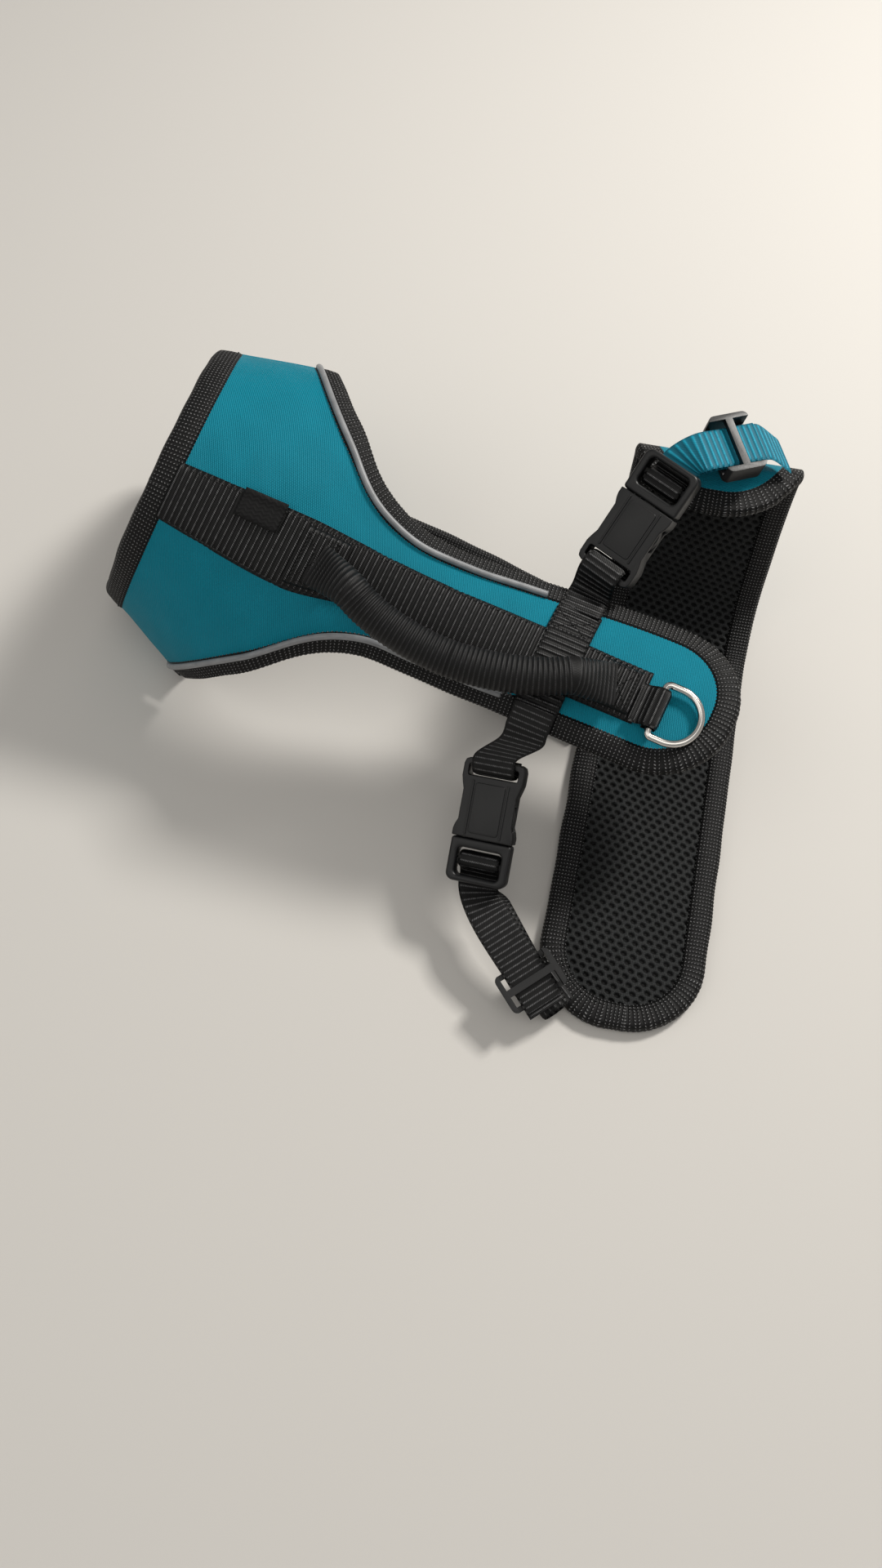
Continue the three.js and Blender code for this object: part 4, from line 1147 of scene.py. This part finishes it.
def male_shape():
    """Plug: thick rounded strap frame with a deep window, its bar and the centre guide."""
    w = BUCKLE_W / 2
    window = MALE - 9
    window_at = MALE_END - 3.4 - window / 2
    corner = [(w - 4.2 + 4.2 * math.cos(a), MALE_END - 4.2 + 4.2 * math.sin(a))
              for a in np.linspace(0, PI / 2, 7)]
    outline = [(-w + 0.3, SEAM + 0.4), (w - 0.3, SEAM + 0.4), (w, SEAM + 2), *corner]
    outline += [(-x, y) for x, y in reversed(outline[2:])]
    body = prism(outline, -FRAME_T / 2 - 0.6, FRAME_T / 2 + 0.6)
    hole = block(-INNER_W / 2 + 1.2, INNER_W / 2 - 1.2, window_at - window / 2, window_at + window / 2,
                 -FRAME_T, FRAME_T, 2.6)
    body = soften(combine(body, [hole]), 1.5, 4)
    bar = soften(block(-INNER_W / 2 - 1, INNER_W / 2 + 1, window_at - BAR / 2,
                       window_at + BAR / 2, -1.6, 0.8), 0.5)
    guide = soften(block(-3, 3, SEAM - ARM_LENGTH + 2, SEAM + 2, -INNER_T / 2 + CLEAR,
                         INNER_T / 2 - CLEAR, 1.5), 0.4)
    return combine(body, [bar, guide], "UNION")


def arm_shape(side):
    """Latch arm: a bowed outer face that fills the socket's side opening, and a hooked head."""
    x = side * (INNER_W / 2 - CLEAR - ARM_W / 2)
    z = INNER_T / 2 - CLEAR
    inner, outer = -ARM_W / 2, ARM_W / 2
    tip_y, root_y = SEAM - ARM_LENGTH - 0.4, SEAM - 0.2
    bow = [(outer + 1.9 * math.sin(PI * u) ** 1.5, mix(root_y - 5.5, tip_y + 2.6, u))
           for u in np.linspace(0, 1, 12)]
    outline = [(inner, root_y), (outer - 0.4, root_y), *bow, (outer - 0.9, tip_y + 0.6), (outer - 2.2, tip_y),
               (inner - 1.4, tip_y + 0.6), (inner - 2.8, tip_y + 3), (inner - 2.8, tip_y + 6.5),
               (inner - 1, tip_y + 9.4), (inner, tip_y + 12)]
    return soften(prism([(x + side * a, b) for a, b in outline], -z, z), 0.9, 4)


def slider_shape():
    """Ladder slider with rounded ends: strap over the side bars and under the centre bar."""
    tall = DOUBLED + 2 * GAP + 2 * SLIDER_BAR
    high = DOUBLED / 2 + GAP + SLIDER_BAR / 2
    w, l = SLIDER_W / 2, SLIDER_L / 2
    body = block(-w, w, -l, l, -tall / 2, tall / 2, 3.2)
    inner = w - SLIDER_BAR
    cuts = [
        block(-inner, inner, -l + SLIDER_BAR, -SLIDER_BAR / 2 - 0.5, -tall, tall),
        block(-inner, inner, SLIDER_BAR / 2 + 0.5, l - SLIDER_BAR, -tall, tall),
        block(-inner, inner, -l - 1, l + 1, -high + SLIDER_BAR / 2, high - SLIDER_BAR / 2),
        block(-inner, inner, -l - 1, -SLIDER_BAR / 2 - 0.5, -high + SLIDER_BAR / 2, tall),
        block(-inner, inner, SLIDER_BAR / 2 + 0.5, l + 1, -high + SLIDER_BAR / 2, tall),
        block(-inner, inner, -SLIDER_BAR / 2 - 0.5, SLIDER_BAR / 2 + 0.5, -tall, high - SLIDER_BAR / 2),
    ]
    return soften(combine(body, cuts), 1.0, 4)


SIDES = [
    dict(name="near", strap_from=-25.8, sign=-1, female=v3(-77, -97, 64), male=v3(-62, -155, 33),
         facing=v3(-0.1, -0.45, 0.9), slider=v3(-15, -186, 21), slider_facing=v3(-0.1, -0.15, 1), straight=28,
         aside=-2.2, anchor=[], material=BLACK_WEB, slot="black_webbing"),
    dict(name="far", strap_from=29.8, sign=1, female=v3(-66, 4, 108), male=v3(-51, 57, 150),
         facing=v3(-0.2, -0.62, 0.75), slider=v3(-29, 79, 149), slider_facing=v3(0.1, -0.1, 1), straight=8,
         aside=0, anchor=[v3(-5, 94, 138.5)], material=TEAL_WEB, slot="teal_webbing"),
]


def side_assembly(side):
    name = side["name"]
    axes, origin = frame_from(side["female"], side["male"], side["facing"])
    local = lambda x, y, z: origin + axes[0] * x + axes[1] * y + axes[2] * z
    across = axes[0]
    plug = f"{name}_plug"
    finish_piece(placed(female_shape(), f"{name}_socket", axes, origin, ACETAL), "vest", "acetal",
                 f"{name}_buckle_female")
    finish_piece(placed(male_shape(), f"{name}_plug_frame", axes, origin, ACETAL), plug, "acetal",
                 f"{name}_buckle_male")
    for tag, e in (("left", -1), ("right", 1)):
        finish_piece(placed(arm_shape(e), f"{name}_arm_{tag}", axes, origin, ACETAL), f"{name}_latch_{tag}",
                     "acetal",
                     f"{name}_latch_arm_{tag}")

    slot_y = FEMALE_END + 3.2 + SLOT / 2
    low = -(GAP + WEB + GAP)
    start = on_back(CROSS_AT, side["strap_from"], low - WEB / 2)
    over = [on_back(CROSS_AT, side["sign"] * t, -(PROUD + GAP + 1.7 * WEB)) for t in (37, 44)]
    through = [(FEMALE_END - 1.5, 7.2), (slot_y - 1.2, 6.4), (slot_y + 1.4, 3.4), (slot_y + 1.5, -1.5),
               (slot_y - 0.8, -5.6), (FEMALE_END - 1, -7)]
    route = [start, *over, *[local(0, y, z) for y, z in through]]
    x = v3(side["sign"], 0, 0)
    dirs = [x, x, mix(x, across, 0.5)] + [across] * len(through)
    strap_on(f"{name}_socket_strap", route, dirs, STRAP - 1, BLACK_WEB, f"{name}_short_strap")

    window_at = MALE_END - 3.4 - (MALE - 9) / 2
    slider_axes, _ = frame_from(local(0, MALE_END + 4, 0), side["slider"], side["slider_facing"])
    s_local = lambda x, y, z: side["slider"] + slider_axes[0] * x + slider_axes[1] * y + slider_axes[2] * z
    finish_piece(placed(slider_shape(), f"{name}_ladder_slider", slider_axes, side["slider"], ACETAL),
                 f"{name}_slider", "acetal", f"{name}_slider")
    layer = (WEB + GAP) / 2
    stretch = [5, -6, -11 - side["straight"]]
    top_run = [s_local(0, y, layer) for y in [14, *stretch]]
    low_run = [s_local(side["aside"] * (y < -8), y, -layer) for y in [*reversed(stretch), 12, 17]]
    round_bar = [local(0, y, z) for y, z in [
        (MALE_END + 1.5, -5.6), (MALE_END - 3.2, -5.5), (window_at + 4.2, -3.8), (window_at + 2.9, -0.8),
        (window_at + 1.6, 1.9), (window_at - 1, 2.7), (window_at - 4.2, 1.6), (window_at - 5.6, -1.2),
        (window_at - 4.6, -4.6), (window_at + 1, -6.9), (MALE_END - 2, -7.6), (MALE_END + 2, -8.2)]]
    route = [*top_run, *round_bar, *low_run, *side["anchor"]]
    dirs = [slider_axes[0]] * len(top_run) + [across] * len(round_bar)
    dirs += [slider_axes[0]] * (len(low_run) + len(side["anchor"]))
    strap = strap_on(f"{name}_adjuster_webbing", route, dirs, STRAP - 2, side["material"],
                     f"{name}_adjuster_strap", ride=False)
    if side["material"] is not BLACK_WEB:
        blacken(strap, local(0, MALE_END - 1, 0), local(0, SEAM, 0))
    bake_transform(strap)


def blacken(strap, boundary, towards):
    """The webbing round the plug's bar is black, past a plane through boundary."""
    strap.data.materials.append(BLACK_WEB)
    direction = unit(towards - boundary)
    for polygon in strap.data.polygons:
        if (np.array(polygon.center) / MM - boundary) @ direction > 0:
            polygon.material_index = 1


def strap_on(name, route, dirs, width, material, node, ride=True):
    """Webbing along a route, its width turning from one given direction to the next."""
    per_span = 60
    centre, tangent = catmull(route, per_span)
    k = np.minimum(np.arange(len(centre)) / per_span, len(route) - 1.001)
    base = np.floor(k).astype(int)
    d = np.array(dirs)
    part = (k - base)[:, None]
    width_dir = d[base] * (1 - part) + d[np.minimum(base + 1, len(d) - 1)] * part
    at = arc_steps(centre)
    fine = np.linspace(0, at[-1], int(at[-1] / (0.36)))
    centre, tangent, width_dir = (
        np.stack([np.interp(fine, at, rows[:, c]) for c in range(3)], -1)
        for rows in (centre, tangent, width_dir))
    tangent = tangent / np.linalg.norm(tangent, axis=1)[:, None]
    obj = ribbon(name, centre, tangent, width_dir, width, WEB + 0.1, material, rib=0.35)
    if ride:
        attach(obj, "vest")
    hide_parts(node)
    return obj


for side in SIDES:
    side_assembly(side)


def near_anchor():
    outward, along = unit(v3(-0.5, -0.87, 0)), unit(v3(0.87, -0.5, 0))
    corner = v3(-3.5, -181.5, 0)
    curl = [(0, 5), (7, 3), (12, 5.5), (12.5, 9), (8, 11.5), (0, 11.8), (-6, 11.2)]
    route = [corner + outward * out + v3(0, 0, z) for out, z in curl]
    strap_on("near_anchor_loop", route, [along] * len(route), STRAP - 2, BLACK_WEB, "near_anchor_webbing")


near_anchor()


# ---- stitching ----
def stitches(name, path, normal, body="vest", length=2.4, spacing=3.3, radius=0.24, slot="black_webbing",
             material=THREAD):
    """A row of thread stitches, each a small raised bead, along a path given in mm."""
    at = arc_steps(path)
    starts = np.arange(spacing * 0.5, at[-1] - length, spacing)
    points, faces = [], []
    for start in starts:
        u = np.linspace(0, 1, 6)
        where = start + u * length
        p = np.stack([np.interp(where, at, path[:, k]) for k in range(3)], -1)
        n = np.stack([np.interp(where, at, normal[:, k]) for k in range(3)], -1)
        p = p + n * (radius * 1.5 * np.sin(PI * u) - 0.1)[:, None]
        d = unit(p[-1] - p[0])
        side = unit(np.cross(d, n[0]))
        up = np.cross(side, d)
        a = np.linspace(0, 2 * PI, 6, endpoint=False)
        offset = len(points) * 6 * 6
        fat = radius * (0.55 + 0.45 * np.sin(PI * u))
        ring = np.array([q + f * (np.cos(a)[:, None] * side + np.sin(a)[:, None] * up)
                         for q, f in zip(p, fat)])
        _, bead = sweep(ring)
        faces += [tuple(offset + k for k in face) for face in bead]
        points.append(ring.reshape(-1, 3))
    if not points:
        return None
    obj = make_object(name, np.concatenate(points), faces, material)
    return finish_piece(obj, body, slot)


def sewn_on_back(name, run, lift, **options):
    run = resample(run, 0.8)
    path = on_back(run[:, 0], run[:, 1], -lift)
    normal = path - on_back(run[:, 0], run[:, 1], -lift + 1)
    return stitches(name, path, normal, **options)


def box_stitch(tag, s0, s1, t0, t1, lift):
    for k, run in enumerate([
        [(s0, t0), (s1, t0), (s1, t1), (s0, t1), (s0, t0)], [(s0, t0), (s1, t1)], [(s0, t1), (s1, t0)],
    ]):
        sewn_on_back(f"{tag}_stitch_{k}", run, lift, length=1.7, spacing=2.3)


for side in (1, -1):
    tag = "far" if side > 0 else "near"
    sewn_on_back(f"spine_stitch_{tag}", [(16, 13.4 * side), (TAB_END - 4, 13.4 * side)], LAYER_1 + 1.6)
box_stitch("front_tab", HANDLE_FROM - TAB + 2, HANDLE_FROM - 2, -10, 10, LAYER_2 + 2.5)
box_stitch("rear_tab", HANDLE_TO + 3, TAB_END - 2, -10, 10, LAYER_2 + 2.5)
for side in (1, -1):
    box_stitch("cross_far" if side > 0 else "cross_near", CROSS_AT - 10, CROSS_AT + 10,
               15.5 * side, 26 * side,
               LAYER_2 + 1.5)


def tape_seam(name, surface, run, depth, outward, inside, at=0.9):
    run = resample(run, 0.9)
    tangent = np.gradient(run, axis=0)
    tangent = tangent / np.linalg.norm(tangent, axis=1)[:, None]
    normal = np.stack([-tangent[:, 1], tangent[:, 0]], -1) * (-1 if inside else 1)
    q = run + normal * at
    path = surface(q[:, 0], q[:, 1], depth)
    lift = surface(q[:, 0], q[:, 1], depth + outward) - path
    return stitches(name, path, lift / np.linalg.norm(lift, axis=1)[:, None], length=2.0, spacing=2.9,
                    slot="binding_tape")


tape_seam("girth_seam_far", on_girth, far_girth, TOTAL + PROUD + 0.25, 1, 0)
tape_seam("girth_seam_near", on_girth, near_girth, TOTAL + PROUD + 0.25, 1, 1)
tape_seam("chest_seam_far", on_chest, far_chest, TOTAL + PROUD + 0.25, 1, 0)
tape_seam("chest_seam_near", on_chest, near_chest, TOTAL + PROUD + 0.25, 1, 1)
neck_t = np.linspace(0, 2 * PI * NECK_R, 400)
tape_seam("neck_seam", on_back, np.stack([np.full(400, BINDING - 1.0), neck_t], -1),
          -PROUD - 0.25, -1, 0, at=0.0)


# ---- stage ----
WORLD_LIGHT = 0.34


def stage():
    floor_mesh = bpy.data.meshes.new("floor")
    size = 30.0
    corners = [(-size, -size, 0), (size, -size, 0), (size, size, 0), (-size, size, 0)]
    floor_mesh.from_pydata(corners, [], [(0, 1, 2, 3)])
    floor = bpy.data.objects.new("floor", floor_mesh)
    floor.location.z = -0.0006
    bpy.context.scene.collection.objects.link(floor)
    material = new_material("floor_pale", (0.62, 0.60, 0.57), 0.85, specular=0.2)[0]
    floor_mesh.materials.append(material)
    world = bpy.data.worlds.new("world")
    world.use_nodes = True
    world.node_tree.nodes["Background"].inputs[0].default_value = (1.0, 0.985, 0.96, 1)
    bpy.context.scene.world = world
    tree = world.node_tree
    rays = tree.nodes.new("ShaderNodeLightPath")
    seen = tree.nodes.new("ShaderNodeMath")
    seen.operation = "MULTIPLY_ADD"
    tree.links.new(rays.outputs["Is Camera Ray"], seen.inputs[0])
    seen.inputs[1].default_value = 0.46
    seen.inputs[2].default_value = WORLD_LIGHT
    tree.links.new(seen.outputs[0], tree.nodes["Background"].inputs[1])

    def lamp(name, place, energy, size):
        data = bpy.data.lights.new(name, "AREA")
        data.energy = energy
        data.size = size
        data.color = (1.0, 0.97, 0.92)
        obj = bpy.data.objects.new(name, data)
        obj.location = place
        direction = Vector((-0.12, -0.02, 0.05)) - Vector(place)
        obj.rotation_euler = direction.to_track_quat("-Z", "Y").to_euler()
        bpy.context.scene.collection.objects.link(obj)

    lamp("key", (0.42, 0.98, 1.2), 24, 0.3)
    lamp("fill", (-1.0, -1.0, 1.5), 5, 1.4)
    lamp("top", (0.3, -0.5, 2.0), 6, 1.2)


stage()
scene = bpy.context.scene
scene.view_settings.view_transform = "Standard"
